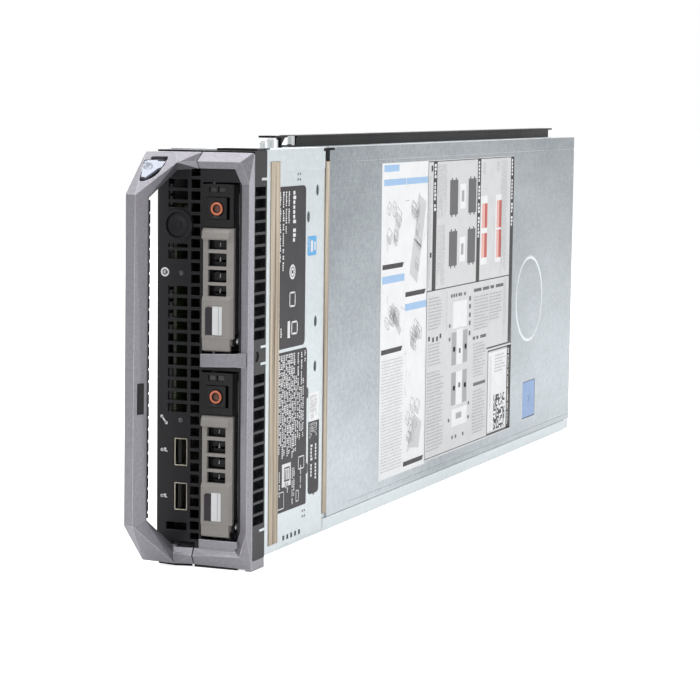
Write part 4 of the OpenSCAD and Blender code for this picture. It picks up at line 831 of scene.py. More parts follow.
@dataclass(frozen=True)
class Sheet:
    """A label or thin plate with rounded corners and a real thickness.

    Attributes:
        name: The piece's name.
        area: Lowest and highest corner on its face.
        finish: What it is made of.
        body: The body that it moves with.
        slot: The slot that it takes its finish from.
        radii: Corner radii, from the lowest corner round against the clock.
        thick: Its thickness.
    """

    name: str
    area: tuple[float, float, float, float]
    finish: Finish
    body: Body = Body.SLED
    slot: Slot = Slot.LABEL
    radii: tuple[float, float, float, float] = (0.4, 0.4, 0.4, 0.4)
    thick: float = 0.08

    def outline(self) -> list[tuple[float, float]]:
        """Returns the rounded outline against the clock."""
        u0, v0, u1, v1 = self.area
        ends = ((u0, v0, 1, 1, 180), (u1, v0, -1, 1, 270), (u1, v1, -1, -1, 0), (u0, v1, 1, -1, 90))
        points = []
        for (u, v, su, sv, start), r in zip(ends, self.radii):
            for step in range(6):
                angle = math.radians(start + step * 18)
                points.append((u + su * r + r * math.cos(angle), v + sv * r + r * math.sin(angle)))
        return points

    def build(self, plane: Plane) -> bpy.types.Object:
        """Makes the sheet on a face.

        Args:
            plane: The face that it lies on.

        Returns:
            The new object.
        """
        edge = self.outline()
        n = len(edge)
        points = [plane.at(u, v, lift) for lift in (0.01, self.thick) for u, v in edge]
        walls = [(i, (i + 1) % n, n + (i + 1) % n, n + i) for i in range(n)]
        faces = [tuple(range(n, 2 * n)), tuple(reversed(range(n))), *walls]
        return add_piece(self.name, points, faces, self.finish, self.body, self.slot)


@dataclass(frozen=True)
class Turned:
    """A small turned piece: a profile swung round the face's out direction.

    Attributes:
        name: The piece's name.
        centre: Its middle on the face.
        profile: Radius and height of each point, from the inside out.
        finish: What it is made of.
        body: The body that it moves with.
        slot: The slot that it takes its finish from.
        steps: How many flats go round it.
    """

    name: str
    centre: tuple[float, float]
    profile: tuple[tuple[float, float], ...]
    finish: Finish
    body: Body = Body.SLED
    slot: Slot = Slot.STEEL
    steps: int = 40

    def build(self, plane: Plane) -> bpy.types.Object:
        """Makes the piece on a face.

        Args:
            plane: The face that it stands on.

        Returns:
            The new object.
        """
        u, v = self.centre
        turn = [2 * math.pi * i / self.steps for i in range(self.steps)]
        points = [plane.at(u + r * math.cos(a), v + r * math.sin(a), h) for r, h in self.profile for a in turn]
        n = self.steps
        faces = [(k * n + i, (k + 1) * n + i, (k + 1) * n + (i + 1) % n, k * n + (i + 1) % n)
                 for k in range(len(self.profile) - 1) for i in range(n)]
        return add_piece(self.name, points, faces, self.finish, self.body, self.slot)


# ------------------------------------------------------------------------- sub-assemblies


@dataclass
class SubAssembly(ABC):
    """A group of pieces that is built together."""

    datum: Datum

    @abstractmethod
    def build(self) -> None:
        """Makes the group's pieces."""

    def side(self, node: str, u: float, v: float) -> Plane:
        """Returns the open side's face at u along the sled and v up."""
        x = self.datum.meet(node, (60.0, u, v), (-1.0, 0.0, 0.0))[0]
        return Plane(self.datum, (x, 0.0, 0.0))

    def front(self, node: str, u: float, v: float) -> Plane:
        """Returns the front face of a node at u across the sled and v up."""
        y = self.datum.meet(node, (u, -60.0, v), (0.0, 1.0, 0.0))[1]
        return Plane(self.datum, (0.0, y, 0.0), (1.0, 0.0, 0.0))


@dataclass
class SideLabels(SubAssembly):
    """The two black labels, the small stickers and the tag on the fixed side."""

    words_u: float = 29.0

    def rating_label(self) -> None:
        """Black label with columns of words, a disc and two plain signs."""
        plane = self.side("chassis_tray", 45.0, 140.0)
        Sheet("rating_label", (26.9, 102.4, 60.9, 180.4), BLACK_STOCK, radii=(0.5, 2.8, 2.8, 0.5)).build(plane)
        ink = Ink("rating_label_print", INK_WHITE)
        for k, (u, low, size) in enumerate(((29.3, 144.5, 1.6), (33.0, 138.5, 1.6), (36.3, 158.0, 1.5),
                                            (39.6, 161.0, 1.5))):
            ink.words((u, low, u + 2.2, 178.0), size, 2.2, 11 + k, down=True, fill=1.0)
        ink.words((45.2, 151.4, 48.8, 178.0), 3.3, 3.6, 21, down=True, fill=1.0)
        ink.words((27.6, 106.4, 30.2, 125.6), 2.2, 2.6, 22, down=True, fill=1.0)
        ink.words((31.2, 106.8, 33.4, 112.6), 1.7, 2.2, 23, down=True, fill=1.0)
        ink.ring(45.0, 139.0, 3.6)
        ink.outline(41.6, 122.0, 48.8, 129.4, 0.8)
        ink.box(39.6, 107.2, 42.6, 115.4)
        ink.outline(44.2, 108.4, 51.8, 115.0, 0.9)
        ink.build(plane)
        dark = Ink("rating_label_disc_mark", BLACK_STOCK, lift=0.15)
        dark.ring(45.0, 139.0, 2.5, 2.0)
        dark.box(44.0, 138.2, 46.0, 139.8)
        dark.build(plane)

    def approval_label(self) -> None:
        """Black label packed with columns of small words round a few plain boxes."""
        plane = self.side("chassis_tray", 45.0, 60.0)
        Sheet("approval_label", (26.9, 22.8, 64.0, 100.8), BLACK_STOCK, radii=(0.5, 0.8, 2.6, 0.5)).build(plane)
        ink = Ink("approval_label_print", INK_WHITE)
        for k in range(11):
            u = 28.0 + k * 1.98
            ink.words((u, 48.0 + (k % 3) * 2.6, u + 1.9, 99.4), 1.5, 1.9, 30 + k, down=True, fill=0.98)
        for k, (u, low, high) in enumerate(((50.0, 50.6, 88.0), (52.4, 53.0, 99.0), (54.6, 56.0, 82.0),
                                            (56.6, 58.0, 99.0), (58.8, 57.0, 86.0), (60.8, 90.0, 99.4))):
            ink.words((u, low, u + 1.9, high), 1.4, 1.9, 50 + k, down=True, fill=0.9)
        ink.box(34.4, 35.0, 45.0, 46.2)
        ink.outline(28.0, 24.4, 37.0, 33.0, 0.5)
        ink.outline(51.4, 25.4, 55.0, 31.2, 0.6)
        ink.outline(54.0, 41.0, 61.4, 47.6, 0.6)
        for k, u in enumerate((28.4, 30.8, 38.4, 40.6, 46.4, 48.4, 56.6)):
            ink.words((u, 25.0, u + 1.9, 43.0), 1.3, 1.9, 70 + k, down=True, fill=0.7)
        ink.build(plane)
        inner = Ink("approval_label_panel", BLACK_STOCK, lift=0.15)
        inner.outline(37.2, 37.4, 43.6, 44.4, 0.7)
        inner.build(plane)

    def stickers(self) -> None:
        """Blue sticker, white label and black tag in the plain steel beside them."""
        plane = self.side("chassis_tray", 70.0, 150.0)
        Sheet("blue_sticker", (63.6, 145.6, 74.4, 155.2), BLUE_STOCK, radii=(1.0, 1.0, 1.0, 1.0)).build(plane)
        pale = Ink("blue_sticker_print", INK_WHITE)
        pale.boxes([(67.2, 147.4, 70.0, 153.0), (71.6, 148.0, 73.4, 152.2)])
        pale.words((64.4, 147.0, 66.8, 154.0), 0.6, 1.1, 80, down=True)
        pale.build(plane)
        Sheet("white_label", (66.8, 63.1, 79.2, 77.4), WHITE_STOCK).build(plane)
        grey = Ink("white_label_print", INK_PALE)
        grey.words((68.0, 64.4, 78.4, 76.0), 0.9, 1.5, 81, down=True, fill=0.7)
        grey.build(plane)
        Sheet("black_tag", (66.4, 26.6, 80.0, 63.0), BLACK_STOCK, radii=(2.6, 2.6, 0.5, 0.5)).build(plane)
        white = Ink("black_tag_print", INK_WHITE)
        white.words((69.4, 31.8, 72.6, 51.4), 2.4, 3.0, 82, down=True, fill=1.0)
        white.words((75.0, 33.4, 78.2, 51.4), 2.4, 3.0, 83, down=True, fill=1.0)
        white.words((68.0, 54.6, 79.0, 62.2), 0.9, 1.6, 84, down=True, fill=0.8)
        white.build(plane)

    def build(self) -> None:
        """Makes every label of the fixed side."""
        self.rating_label()
        self.approval_label()
        self.stickers()


@dataclass
class ServiceLabel(SubAssembly):
    """The large service label on the cover: a white guide beside a grey wiring panel."""

    top: float = 188.6
    foot: float = 20.2
    seam: float = 231.6

    def guide(self, plane: Plane) -> None:
        """White half: title bars, box drawings, slanted bars and small words."""
        blue = Ink("service_label_titles", INK_BLUE, Body.COVER)
        blue.boxes([(164.6, 184.0, 186.6, 187.6), (164.6, 176.6, 197.4, 180.0), (198.2, 176.6, 231.0, 180.0),
                    (163.4, 124.6, 196.4, 128.6), (198.0, 107.8, 231.0, 111.6)])
        blue.build(plane)
        bars = Ink("service_label_bars", BLACK_STOCK, Body.COVER)
        for u, v, w in ((163.6, 132.2, 31.6), (198.2, 115.4, 31.6), (163.2, 86.8, 31.6), (198.2, 22.2, 31.6)):
            bars.shapes.append([(u, v), (u + w - 2.0, v), (u + w, v + 2.6), (u, v + 2.6)])
        bars.build(plane)
        lines = Ink("service_label_drawings", INK_GREY, Body.COVER)
        dice = random.Random(5)
        for u0, v0, u1, v1 in ((168, 138, 194, 172), (201, 122, 227, 172), (167, 93, 192, 118),
                               (201, 72, 227, 104), (201, 30, 227, 62)):
            for _ in range(7):
                size = (dice.uniform(3, 10), dice.uniform(2, 6), dice.uniform(1.5, 5))
                lines.crate(dice.uniform(u0, u1 - 11), dice.uniform(v0 + 5, v1 - 9), size, 0.28, dice.randint(0, 6))
            for _ in range(4):
                a = (dice.uniform(u0, u1), dice.uniform(v0, v1))
                lines.stroke(a, (a[0] + dice.uniform(-6, 6), a[1] + dice.uniform(-7, 7)), 0.25)
        lines.build(plane)
        faint = Ink("service_label_small_print", INK_FAINT, Body.COVER)
        faint.words((164.4, 22.0, 196.0, 83.6), 0.8, 1.7, 90, fill=0.93)
        faint.build(plane)
        tone = Ink("service_label_tints", INK_TINT, Body.COVER, lift=0.1)
        tone.shapes += [[(211, 146), (222, 141), (229, 166), (217, 171)], [(204, 128), (216, 122), (222, 142), (210, 147)],
                        [(205, 32), (222, 30), (226, 44), (214, 50)], [(176, 109), (190, 95), (193, 98), (180, 112)]]
        tone.build(plane)

    def panel(self, plane: Plane) -> None:
        """Grey half: frame, dark bars, memory blocks, bars in red and the board plan."""
        dark = Ink("service_label_panel_dark", BLACK_STOCK, Body.COVER)
        dark.outline(self.seam, self.foot + 1.0, 382.6, 188.2, 0.45)
        dark.box(self.seam, 115.6, 376.6, 116.2)
        for u, low in ((240.0, 116.0), (314.8, 116.0), (376.2, 75.0)):
            dark.shapes.append([(u - 0.6, low), (u + 5.4, low), (u + 6.0, 188.0), (u, 188.0)])
        dark.boxes([(236.4, 182.6, 239.0, 185.8), (235.6, 134.6, 238.4, 137.4), (336.0, 74.0, 382.0, 74.9),
                    (374.8, 21.4, 382.2, 72.8)])
        dark.outline(338.6, 21.6, 382.2, 72.8, 0.8)
        for u, v in ((236.4, 89), (243, 88), (249.4, 88), (255, 89.2)):
            dark.box(u - 1.4, v - 1.2, u + 1.4, v + 1.4)
        dice = random.Random(8)
        cells = 17
        for i in range(cells):
            for j in range(cells):
                ring = min(i, j, cells - 1 - i, cells - 1 - j)
                if dice.random() < 0.52 and ring >= 0:
                    u, v = 350.8 + i * 1.24, 23.6 + j * 1.24
                    dark.box(u, v, u + 1.24, v + 1.24)
        dark.build(plane)
        blocks = Ink("service_label_blocks", INK_SLATE, Body.COVER)
        for u in (267.4, 299.0):
            for v in (126.6, 155.8):
                shift = -0.5 if v < 140 else 0.0
                blocks.box(u + shift, v + 1.2, u + 13.6 + shift, v + 21.0)
                for ear in (2.4, 9.2):
                    blocks.boxes([(u + ear + shift, v, u + ear + 2 + shift, v + 1.3),
                                  (u + ear + shift, v + 20.9, u + ear + 2 + shift, v + 22.2)])
        for k, v in enumerate((105.6, 101.0, 96.0, 91.2, 85.2)):
            blocks.box(303.2, v, 306.4, v + 2.6)
        for u, v in ((271.6, 109.6), (275.6, 109.6), (279.6, 109.6), (284.4, 109.6), (287.6, 109.6), (294.4, 109.4),
                     (269.0, 92.6), (269.0, 84.8), (269.6, 38.0), (303.4, 36.2), (303.6, 44.4),
                     (276.0, 27.4), (281.8, 27.4), (294.4, 27.4)):
            blocks.box(u, v, u + 2.8, v + 1.9)
        for u0, u1, v in ((311.4, 325, 110), (327.6, 339, 110), (341.4, 348, 110), (351.4, 365.6, 110),
                          (310.8, 315, 81.8), (317.2, 321, 81.8), (324.2, 334.8, 81.8), (312.8, 334.6, 54.2)):
            blocks.box(u0, v, u1, v + 1.9)
        for u, v in ((277.2, 78.6), (286.8, 77), (296.8, 78.6), (277.8, 56), (286.8, 57), (296.8, 56)):
            blocks.box(u - 0.2, v - 0.6, u + 3, v + 2.2)
        blocks.build(plane)
        white = Ink("service_label_white_areas", WHITE_STOCK, Body.COVER, lift=0.1)
        white.boxes([(284.8, 160.0, 294.4, 174.2), (284.8, 129.4, 294.4, 143.6), (321.4, 125.4, 333.2, 166.0),
                     (348.4, 125.4, 359.6, 166.0), (275.6, 91.4, 299.4, 106.8), (282.6, 70.0, 293.0, 90.6),
                     (282.6, 46.6, 293.0, 66.0), (276.0, 34.4, 302.0, 44.6), (340.0, 23.4, 374.4, 71.0)])
        white.build(plane)
        pale = Ink("service_label_grey_print", INK_PALE, Body.COVER)
        for v in (70.2, 47.0):
            pale.boxes([(274.2, v, 282.0, v + 19.0), (293.6, v, 301.2, v + 19.0)])
        pale.boxes([(283.0, 38.4, 292.6, 41.8), (287.4, 164.0, 291.6, 170.4), (287.4, 133.4, 291.6, 139.8)])
        for k, (area, down) in enumerate((
                ((234.0, 22.6, 261.0, 70.0), False), ((235.0, 72.0, 256.0, 86.0), False),
                ((235.0, 92.0, 256.0, 112.0), False), ((247.4, 156.0, 264.0, 186.0), True),
                ((247.4, 118.0, 262.0, 152.0), True), ((312.0, 86.0, 338.0, 107.4), False),
                ((340.0, 90.0, 364.0, 107.4), False), ((312.0, 58.0, 334.0, 79.6), False),
                ((312.0, 24.0, 334.0, 51.6), False), ((324.0, 177.0, 331.0, 185.6), True),
                ((350.0, 180.0, 357.0, 185.6), True), ((358.6, 118.0, 371.0, 186.0), True),
                ((366.4, 78.0, 372.6, 114.0), True), ((343.0, 26.0, 347.0, 69.0), True),
                ((352.0, 56.0, 372.0, 69.0), False), ((264.6, 92.0, 267.4, 114.0), True),
                ((233.6, 118.0, 238.6, 180.0), True))):
            pale.words(area, 0.85, 1.9, 100 + k, down=down, fill=0.86)
        pale.build(plane)
        titles = Ink("service_label_bar_titles", WHITE_STOCK, Body.COVER, lift=0.15)
        for k, (u, low) in enumerate(((241.4, 160.0), (316.2, 141.0), (377.6, 143.0))):
            titles.words((u, low, u + 3.4, 186.6), 3.0, 3.4, 130 + k, down=True, fill=1.0)
        titles.words((376.4, 24.0, 379.0, 71.0), 1.6, 2.4, 134, down=True, fill=1.0)
        titles.build(plane)
        red = Ink("service_label_red_bars", INK_RED, Body.COVER)
        red.boxes([(328.4, 147.0, 333.2, 161.4), (328.4, 129.4, 333.2, 143.8), (354.8, 146.0, 359.6, 162.4),
                   (354.8, 128.0, 359.6, 144.8)])
        red.build(plane)
        blush = Ink("service_label_red_tints", INK_BLUSH, Body.COVER)
        blush.boxes([(323.4, 147.0, 328.0, 161.4), (323.4, 129.4, 328.0, 143.8), (350.6, 146.0, 354.4, 162.4),
                     (350.6, 128.0, 354.4, 144.8)])
        blush.build(plane)

    def build(self) -> None:
        """Makes the label's stock and all of its print."""
        plane = self.side("cover_panel", 270.0, 110.0)
        Sheet("service_label", (161.6, self.foot - 0.8, self.seam + 0.4, self.top), WHITE_STOCK, Body.COVER).build(plane)
        Sheet("service_label_panel", (self.seam - 0.2, self.foot, 383.0, self.top), GREY_STOCK, Body.COVER).build(plane)
        self.guide(plane)
        self.panel(plane)


@dataclass
class DriveTrim(SubAssembly):
    """Label, lamp windows, touch ring, and a dark sheet of painted shade with painted highlights seen through the
    windows of one drive bay.
    """

    level: str = "upper"
    base: float = 103.5
    lever: Body = Body.UPPER_LEVER
    carrier: Body = Body.UPPER_CARRIER
    button: Body = Body.UPPER_BUTTON
    left: float = -1.2

    def build(self) -> None:
        """Makes the bay's small pieces."""
        name, z, x = f"{self.level}_drive", self.base, self.left
        plane = self.front(f"carrier_lever_{self.level}", x + 6.0, z + 14.0)
        Sheet(f"{name}_label", (x + 5.5, z + 7.9, x + 10.5, z + 21.5), WHITE_STOCK, self.lever).build(plane)
        Sheet(f"{name}_label_patch", (x + 1.9, z + 7.9, x + 5.5, z + 21.0), INK_PLUM, self.lever,
              radii=(0.3, 0.1, 0.1, 1.2)).build(plane)
        edge = Ink(f"{name}_label_edge", INK_FAINT, self.lever)
        edge.box(x + 8.6, z + 8.2, x + 9.0, z + 21.2)
        edge.build(plane)
        # dark sheet on the drive's face: painted shade, so that the view through the lever's windows reads black
        behind = self.front(f"drive_{self.level}", x + 8.0, z + 40.0)
        Sheet(f"{name}_painted_shade_sheet", (x + 1.2, z + 3.0, x + 15.2, z + 60.0), GRIP_RUBBER, self.carrier, Slot.BLACK,
              thick=0.3).build(behind)
        head = self.front(f"carrier_frame_{self.level}", x + 5.5, z + 76.1)
        for side, at in (("left", x + 3.8), ("right", x + 8.3)):
            Sheet(f"{name}_lamp_{side}", (at, z + 75.0, at + 3.4, z + 77.2), LAMP_SMOKE, self.carrier, Slot.CLEAR,
                  thick=0.25).build(head)
        wall = self.front(f"carrier_frame_{self.level}", x + 7.5, z + 30.4)
        # slanted pale strokes beside the window rings: painted highlights of the parts behind the windows
        marks = Ink(f"{name}_window_painted_highlights", HIGHLIGHT_SILVER, self.carrier)
        rims = Ink(f"{name}_window_rims", INK_PLUM, self.carrier)
        for v in (28.6, 35.6, 43.4, 50.3):
            rims.ring(x + 6.4, z + v, 1.9, 1.5, 20)
            marks.shapes.append([(x + 7.0, z + v - 1.0), (x + 7.6, z + v - 1.0), (x + 7.9, z + v + 1.3),
                                 (x + 7.4, z + v + 1.1)])
        marks.build(wall)
        rims.build(wall)
        self.touch_ring(name)

    def touch_ring(self, name: str) -> None:
        """Makes the coloured ring round the release button's dished middle.

        Args:
            name: What the drive's pieces are called.
        """
        low, high = (self.datum.millimetres(p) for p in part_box(f"carrier_button_{self.level}"))
        u, v = (low[0] + high[0]) / 2 - 0.2, (low[2] + high[2]) / 2 - 0.2
        crown = self.front(f"carrier_button_{self.level}", u + 2.4, v)
        Turned(f"{name}_touch_ring", (u, v), ((2.05, 0.02), (2.25, 0.22), (2.75, 0.26), (3.1, 0.02)), RING_ORANGE,
               self.button, Slot.RING).build(crown)
        floor = self.front(f"carrier_button_{self.level}", u, v)
        Turned(f"{name}_touch_lens", (u, v), ((0.0, 0.3), (0.7, 0.26), (1.7, 0.03)), RING_BROWN,
               self.button, Slot.RING).build(floor)


@dataclass
class FrontMarks(SubAssembly):
    """The plain marks beside the lamps and ports on the bezel."""

    def build(self) -> None:
        """Makes the marks and their dark centres."""
        plane = self.front("bezel_body", -21.6, 139.8)
        marks = Ink("bezel_marks", INK_WHITE, lift=0.03)
        marks.ring(-21.2, 140.1, 2.2, 0.0, 28)
        marks.stroke((-22.6, 71.2), (-20.2, 68.2), 0.8)
        marks.ring(-22.6, 71.2, 0.8, 0.0, 14)
        marks.ring(-20.2, 68.2, 0.8, 0.0, 14)
        for v in (55.0, 32.8):
            marks.stroke((-22.8, v + 0.3), (-19.6, v - 0.5), 0.6)
            marks.ring(-22.4, v + 0.2, 0.8, 0.0, 14)
            marks.box(-21.4, v - 0.2, -20.2, v + 1.2)
        marks.build(plane)
        dark = Ink("bezel_marks_centres", BEZEL_BLACK, slot=Slot.BLACK, lift=0.05)
        dark.ring(-21.2, 140.1, 1.3, 0.8, 20)
        dark.box(-21.4, 139.8, -19.6, 140.3)
        dark.build(plane)


@dataclass
class SteelMarks(SubAssembly):
    """Pressed rims, painted shade round the holes as shadowed countersinks, and the black foam at the top of the
    cover's seal.
    """

    holes: tuple[tuple[float, float], ...] = ((64.2, 164.7), (75.2, 177.5), (74.1, 112.7), (74.1, 90.3),
                                              (64.6, 77.9), (64.6, 40.3), (73.9, 28.3))

    rim: tuple[tuple[float, float], ...] = ((1.15, 0.02), (1.35, 0.16), (1.75, 0.16), (1.95, 0.02))

    def build(self) -> None:
        """Makes the foam, the dimples' rims and the rim of the cover's disc."""
        tray = self.side("chassis_tray", 70.0, 192.0)
        field_of = self.side("chassis_tray", 70.0, 140.0)
        # dark rings round the holes: painted shade of shadowed countersinks, which also makes the holes look wider
        countersink_shade = Ink("hole_countersink_shade", COUNTERSINK_SHADE, slot=Slot.STEEL, lift=0.015)
        for u, v in self.holes:
            turn = [(math.cos(i * math.pi / 12), math.sin(i * math.pi / 12)) for i in range(25)]
            for (c0, s0), (c1, s1) in zip(turn, turn[1:]):
                countersink_shade.shapes.append([(u + 1.05 * c0, v + 2.3 * s0), (u + 1.75 * c0, v + 2.75 * s0),
                                     (u + 1.75 * c1, v + 2.75 * s1), (u + 1.05 * c1, v + 2.3 * s1)])
        countersink_shade.build(field_of)
        for name, u in (("front", 33.8), ("rear", 73.4)):
            Turned(f"pressed_dimple_{name}", (u, 192.9), self.rim, SIDE_STEEL, slot=Slot.STEEL).build(tray)
        low, high = (self.datum.millimetres(p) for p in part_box("seal_strip_cover"))
        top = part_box("cover_panel")[1].z / MM
        pad = (low[1] + 0.1, high[2] - 1.0, high[1] - 0.1, top - 1.2)
        Sheet("seal_end_pad", pad, GRIP_RUBBER, slot=Slot.RUBBER, radii=(0.2, 0.2, 0.8, 0.2), thick=0.2).build(tray)
        strip = (low[1] - 2.4, top - 1.8, high[1] - 0.1, top - 0.3)
        Sheet("seal_top_strip", strip, GRIP_RUBBER, slot=Slot.RUBBER, thick=0.22).build(tray)
        cover = self.side("cover_panel", 417.3, 98.7)
        strip = (high[1] + 0.3, top - 1.5, high[1] + 6.0, top - 0.3)
        Sheet("cover_top_strip", strip, GRIP_RUBBER, Body.COVER, Slot.RUBBER, thick=0.2).build(cover)
        low, high = (self.datum.millimetres(p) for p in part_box("cover_release_pad"))
        u, v = (low[1] + high[1]) / 2, (low[2] + high[2]) / 2
        arrow = Ink("cover_pad_arrow", PAD_SHADE, Body.COVER_PAD, Slot.BLUE, lift=0.06)
        arrow.stroke((u - 3.0, v + 4.0), (u + 2.5, v), 0.8)
        arrow.stroke((u - 3.0, v - 4.0), (u + 2.5, v), 0.8)
        arrow.outline(low[1] + 1.2, low[2] + 1.2, high[1] - 1.2, high[2] - 1.2, 0.35)
        arrow.build(self.side("cover_release_pad", u, v))
        Turned("cover_disc_rim", (417.3, 98.7), ((24.9, 0.01), (25.5, 0.22), (26.4, 0.3), (27.1, 0.01)),
               COVER_BRIGHT, Body.COVER, Slot.STEEL, steps=96).build(cover)


def parts(datum: Datum) -> list[SubAssembly]:
    """Lists the sub-assemblies in building order."""
    return [
        SideLabels(datum), ServiceLabel(datum), DriveTrim(datum),
        DriveTrim(datum, "lower", 15.0, Body.LOWER_LEVER, Body.LOWER_CARRIER, Body.LOWER_BUTTON),
        FrontMarks(datum), SteelMarks(datum),
    ]


# ------------------------------------------------------------------------ dress and light


@dataclass(frozen=True)
class Wardrobe:
    """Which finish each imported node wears."""

    silver: tuple[str, ...] = ("front_frame", "handle_bar")
    choice: dict[str, Finish] = field(default_factory=lambda: {
        "chassis_tray": SIDE_STEEL, "cover_panel": COVER_STEEL, "drive_cage": INNER_STEEL,
        "rear_plate": SIDE_STEEL, "usb_tongues": CARRIER_BLACK, "dimm_latches": SOCKET_IVORY,
        "bezel_body": BEZEL_BLACK, "power_button": BEZEL_BLACK, "handle_badge": BEZEL_BLACK,
        "handle_grip_liner": GRIP_RUBBER, "release_button": BUTTON_SILVER,
        "carrier_frame_upper": CARRIER_BLACK, "carrier_frame_lower": CARRIER_BLACK,
        "carrier_button_upper": CARRIER_BLACK, "carrier_button_lower": CARRIER_BLACK,
        "carrier_lever_upper": LEVER_GREY, "carrier_lever_lower": LEVER_GREY,
        "drive_upper": CASTING, "drive_lower": CASTING, "front_usb_ports": PORT_PLATING,
        "status_light_pipes": LAMP_CLEAR, "cover_release_pad": PAD_BLUE,
        "seal_strip_front": SEAL_FOAM, "seal_strip_cover": SEAL_FOAM, "top_rail": RAIL_BLACK,
        "rail_gusset": STUD_STEEL, "rail_guide_studs": STUD_STEEL, "board_standoffs": BRASS,
        "cpu_sockets": SOCKET_IVORY, "cpu_packages": NICKEL, "coin_cell": NICKEL,
        "cpu_heatsinks": FIN_ALLOY, "chipset_heatsink": FIN_ALLOY, "system_board": BOARD_GREEN,
        "front_panel_board": BOARD_GREEN, "drive_backplane": BOARD_GREEN, "raid_card": BOARD_GREEN,
        "network_card": BOARD_GREEN, "mezzanine_cards": BOARD_GREEN, "dimm_modules": BOARD_GREEN,
        "pad_housing": COMPONENT_GREY, "dimm_sockets": COMPONENT_GREY, "air_baffle": COMPONENT_GREY,
        "mezzanine_connectors": COMPONENT_GREY, "midplane_connectors": COMPONENT_GREY,
        "power_stages": COMPONENT_GREY, "coin_cell_holder": COMPONENT_GREY})

    def finish(self, node: str) -> Finish:
        """Returns the finish of a node; small metal parts share one."""
        if node in self.silver:
            return FRAME_SILVER
        return self.choice.get(node, MACHINED_STEEL)

    def dress(self, nodes: dict[str, bpy.types.Object]) -> None:
        """Puts each node's finish in its object's material slots.

        Args:
            nodes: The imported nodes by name.
        """
        for name, node in nodes.items():
            material = self.finish(name).material()
            if not node.material_slots:
                node.data.materials.append(material)
            for place in node.material_slots:
                place.material = material
            log.info("%s wears %s", name, material.name)


@dataclass(frozen=True)
class Lamp:
    """One soft lamp: where it stands, what it looks at, its size and strength."""

    name: str
    place: Point
    target: Point
    size: tuple[float, float]
    watts: float
    colour: Colour = (1.0, 1.0, 1.0)

    def build(self) -> None:
        """Adds the lamp to the scene."""
        data = bpy.data.lights.new(self.name, "AREA")
        data.shape = "RECTANGLE"
        data.size, data.size_y = self.size
        data.energy = self.watts
        data.color = self.colour
        lamp = bpy.data.objects.new(self.name, data)
        lamp.location = self.place
        aim = Vector(self.target) - Vector(self.place)
        lamp.rotation_euler = aim.to_track_quat("-Z", "Y").to_euler()
        bpy.context.scene.collection.objects.link(lamp)


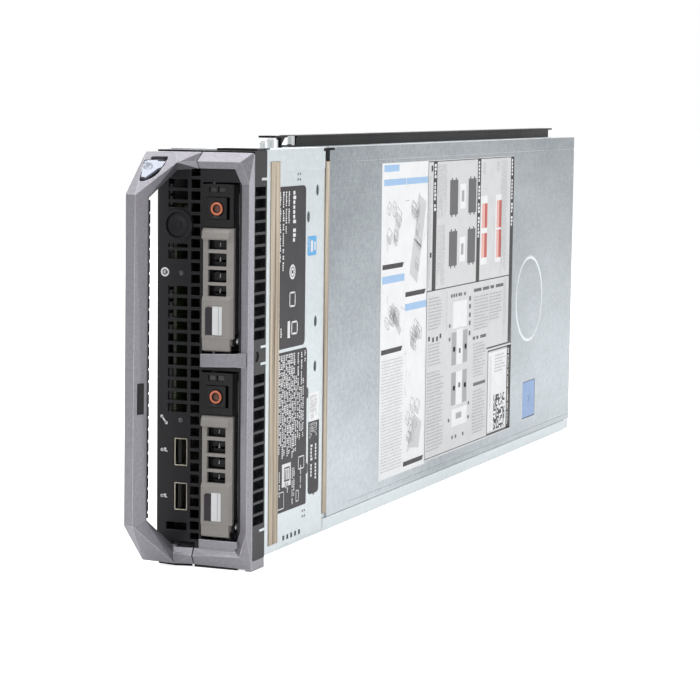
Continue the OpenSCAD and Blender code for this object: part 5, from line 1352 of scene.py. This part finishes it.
@dataclass(frozen=True)
class Studio:
    """Camera, floor, world and lamps, in metres in the row's frame."""

    camera_at: Point = (0.4851, -1.24995, 0.2244)
    yaw: float = 22.11
    pitch: float = -6.09
    roll: float = 0.68
    lens: float = 123.06
    sensor: float = 36.0
    floor_reach: float = 14.0
    lamps: tuple[Lamp, ...] = (
        Lamp("key", (1.5, -0.2, 0.6), (0.0, -0.05, 0.1), (0.9, 0.9), 11.5),
        Lamp("top", (-0.2, 0.1, 1.6), (0.0, 0.0, 0.1), (1.3, 1.3), 17.0),
        Lamp("front", (-0.65, -1.25, 1.5), (0.0, -0.2, 0.1), (1.1, 1.1), 16.0),
        Lamp("rear", (-0.8, 1.8, 1.2), (0.0, 0.1, 0.1), (1.2, 1.2), 8.0),
    )

    def camera(self) -> None:
        """Adds the camera and makes it the scene's."""
        yaw, pitch, roll = (math.radians(a) for a in (self.yaw, self.pitch, self.roll))
        ahead = Vector((-math.sin(yaw) * math.cos(pitch), math.cos(yaw) * math.cos(pitch), math.sin(pitch)))
        right = Vector((math.cos(yaw), math.sin(yaw), 0.0))
        up = right.cross(ahead)
        side = math.cos(roll) * right + math.sin(roll) * up
        head = -math.sin(roll) * right + math.cos(roll) * up
        data = bpy.data.cameras.new("camera")
        data.lens = self.lens
        data.sensor_width = self.sensor
        data.clip_start = 0.05
        data.clip_end = 60.0
        camera = bpy.data.objects.new("camera", data)
        turn = Matrix((side, head, -ahead)).transposed().to_4x4()
        camera.matrix_world = Matrix.Translation(Vector(self.camera_at)) @ turn
        bpy.context.scene.collection.objects.link(camera)
        bpy.context.scene.camera = camera

    def seen(self, tree: Tree) -> bpy.types.NodeSocket:
        """Returns 1 for rays from the camera, a mirror or glass, and 0 for the rest."""
        rays = tree.add("ShaderNodeLightPath").outputs
        either = tree.math("MAXIMUM", rays["Is Camera Ray"], rays["Is Glossy Ray"])
        return tree.math("MAXIMUM", either, rays["Is Transmission Ray"])

    def world(self) -> None:
        """A white world for what is seen, and a softer one for the light it gives."""
        world = bpy.data.worlds.new("studio")
        world.use_nodes = True
        world.node_tree.nodes.clear()
        tree = Tree(world.node_tree)
        strength = tree.add("ShaderNodeMix", {0: self.seen(tree), 2: 0.18, 3: 1.0})
        back = tree.add("ShaderNodeBackground", {"Color": (1.0, 1.0, 1.0, 1.0),
                                                 "Strength": strength.outputs[0]})
        tree.add("ShaderNodeOutputWorld", {"Surface": back.outputs[0]})
        bpy.context.scene.world = world

    def floor(self) -> None:
        """A pale floor that keeps a soft shadow."""
        reach = self.floor_reach
        mesh = bpy.data.meshes.new("floor")
        corners = [(-reach, -reach, 0.0), (reach, -reach, 0.0), (reach, reach, 0.0), (-reach, reach, 0.0)]
        mesh.from_pydata(corners, [], [(0, 1, 2, 3)])
        floor = bpy.data.objects.new("floor", mesh)
        floor.location.z = -0.0002
        bpy.context.scene.collection.objects.link(floor)
        made = bpy.data.materials.new("floor_white")
        made.use_nodes = True
        made.node_tree.nodes.clear()
        tree = Tree(made.node_tree)
        matt = tree.add("ShaderNodeBsdfDiffuse", {"Color": (0.9, 0.9, 0.9, 1.0)})
        glow = tree.add("ShaderNodeEmission", {"Color": (1.0, 1.0, 1.0, 1.0), "Strength": 0.85})
        nothing = tree.add("ShaderNodeEmission", {"Color": (0.0, 0.0, 0.0, 1.0), "Strength": 0.0})
        lit = tree.add("ShaderNodeMixShader", {0: self.seen(tree), 1: nothing.outputs[0], 2: glow.outputs[0]})
        both = tree.add("ShaderNodeAddShader", {0: matt.outputs[0], 1: lit.outputs[0]})
        tree.add("ShaderNodeOutputMaterial", {"Surface": both.outputs[0]})
        mesh.materials.append(made)
        floor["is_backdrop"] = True

    def build(self) -> None:
        """Sets up the whole studio."""
        self.camera()
        self.world()
        self.floor()
        for lamp in self.lamps:
            lamp.build()
        bpy.context.scene.view_settings.view_transform = "Standard"


def corners(box: tuple[Sequence[float], Sequence[float]]) -> list[list[float]]:
    """Turns a box into plain lists of numbers."""
    return [[float(v) for v in corner] for corner in box]


def main() -> None:
    """Builds everything in order."""
    logging.basicConfig(level=logging.INFO, format="%(name)s: %(message)s")
    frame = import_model()
    solid_box = corners(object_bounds())
    Wardrobe().dress(frame["nodes"])
    datum = Datum.measure()
    for part in parts(datum):
        part.build()
    Studio().build()
    {"cad": solid_box, "visual": corners(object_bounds())}


if __name__ == "__main__":
    main()
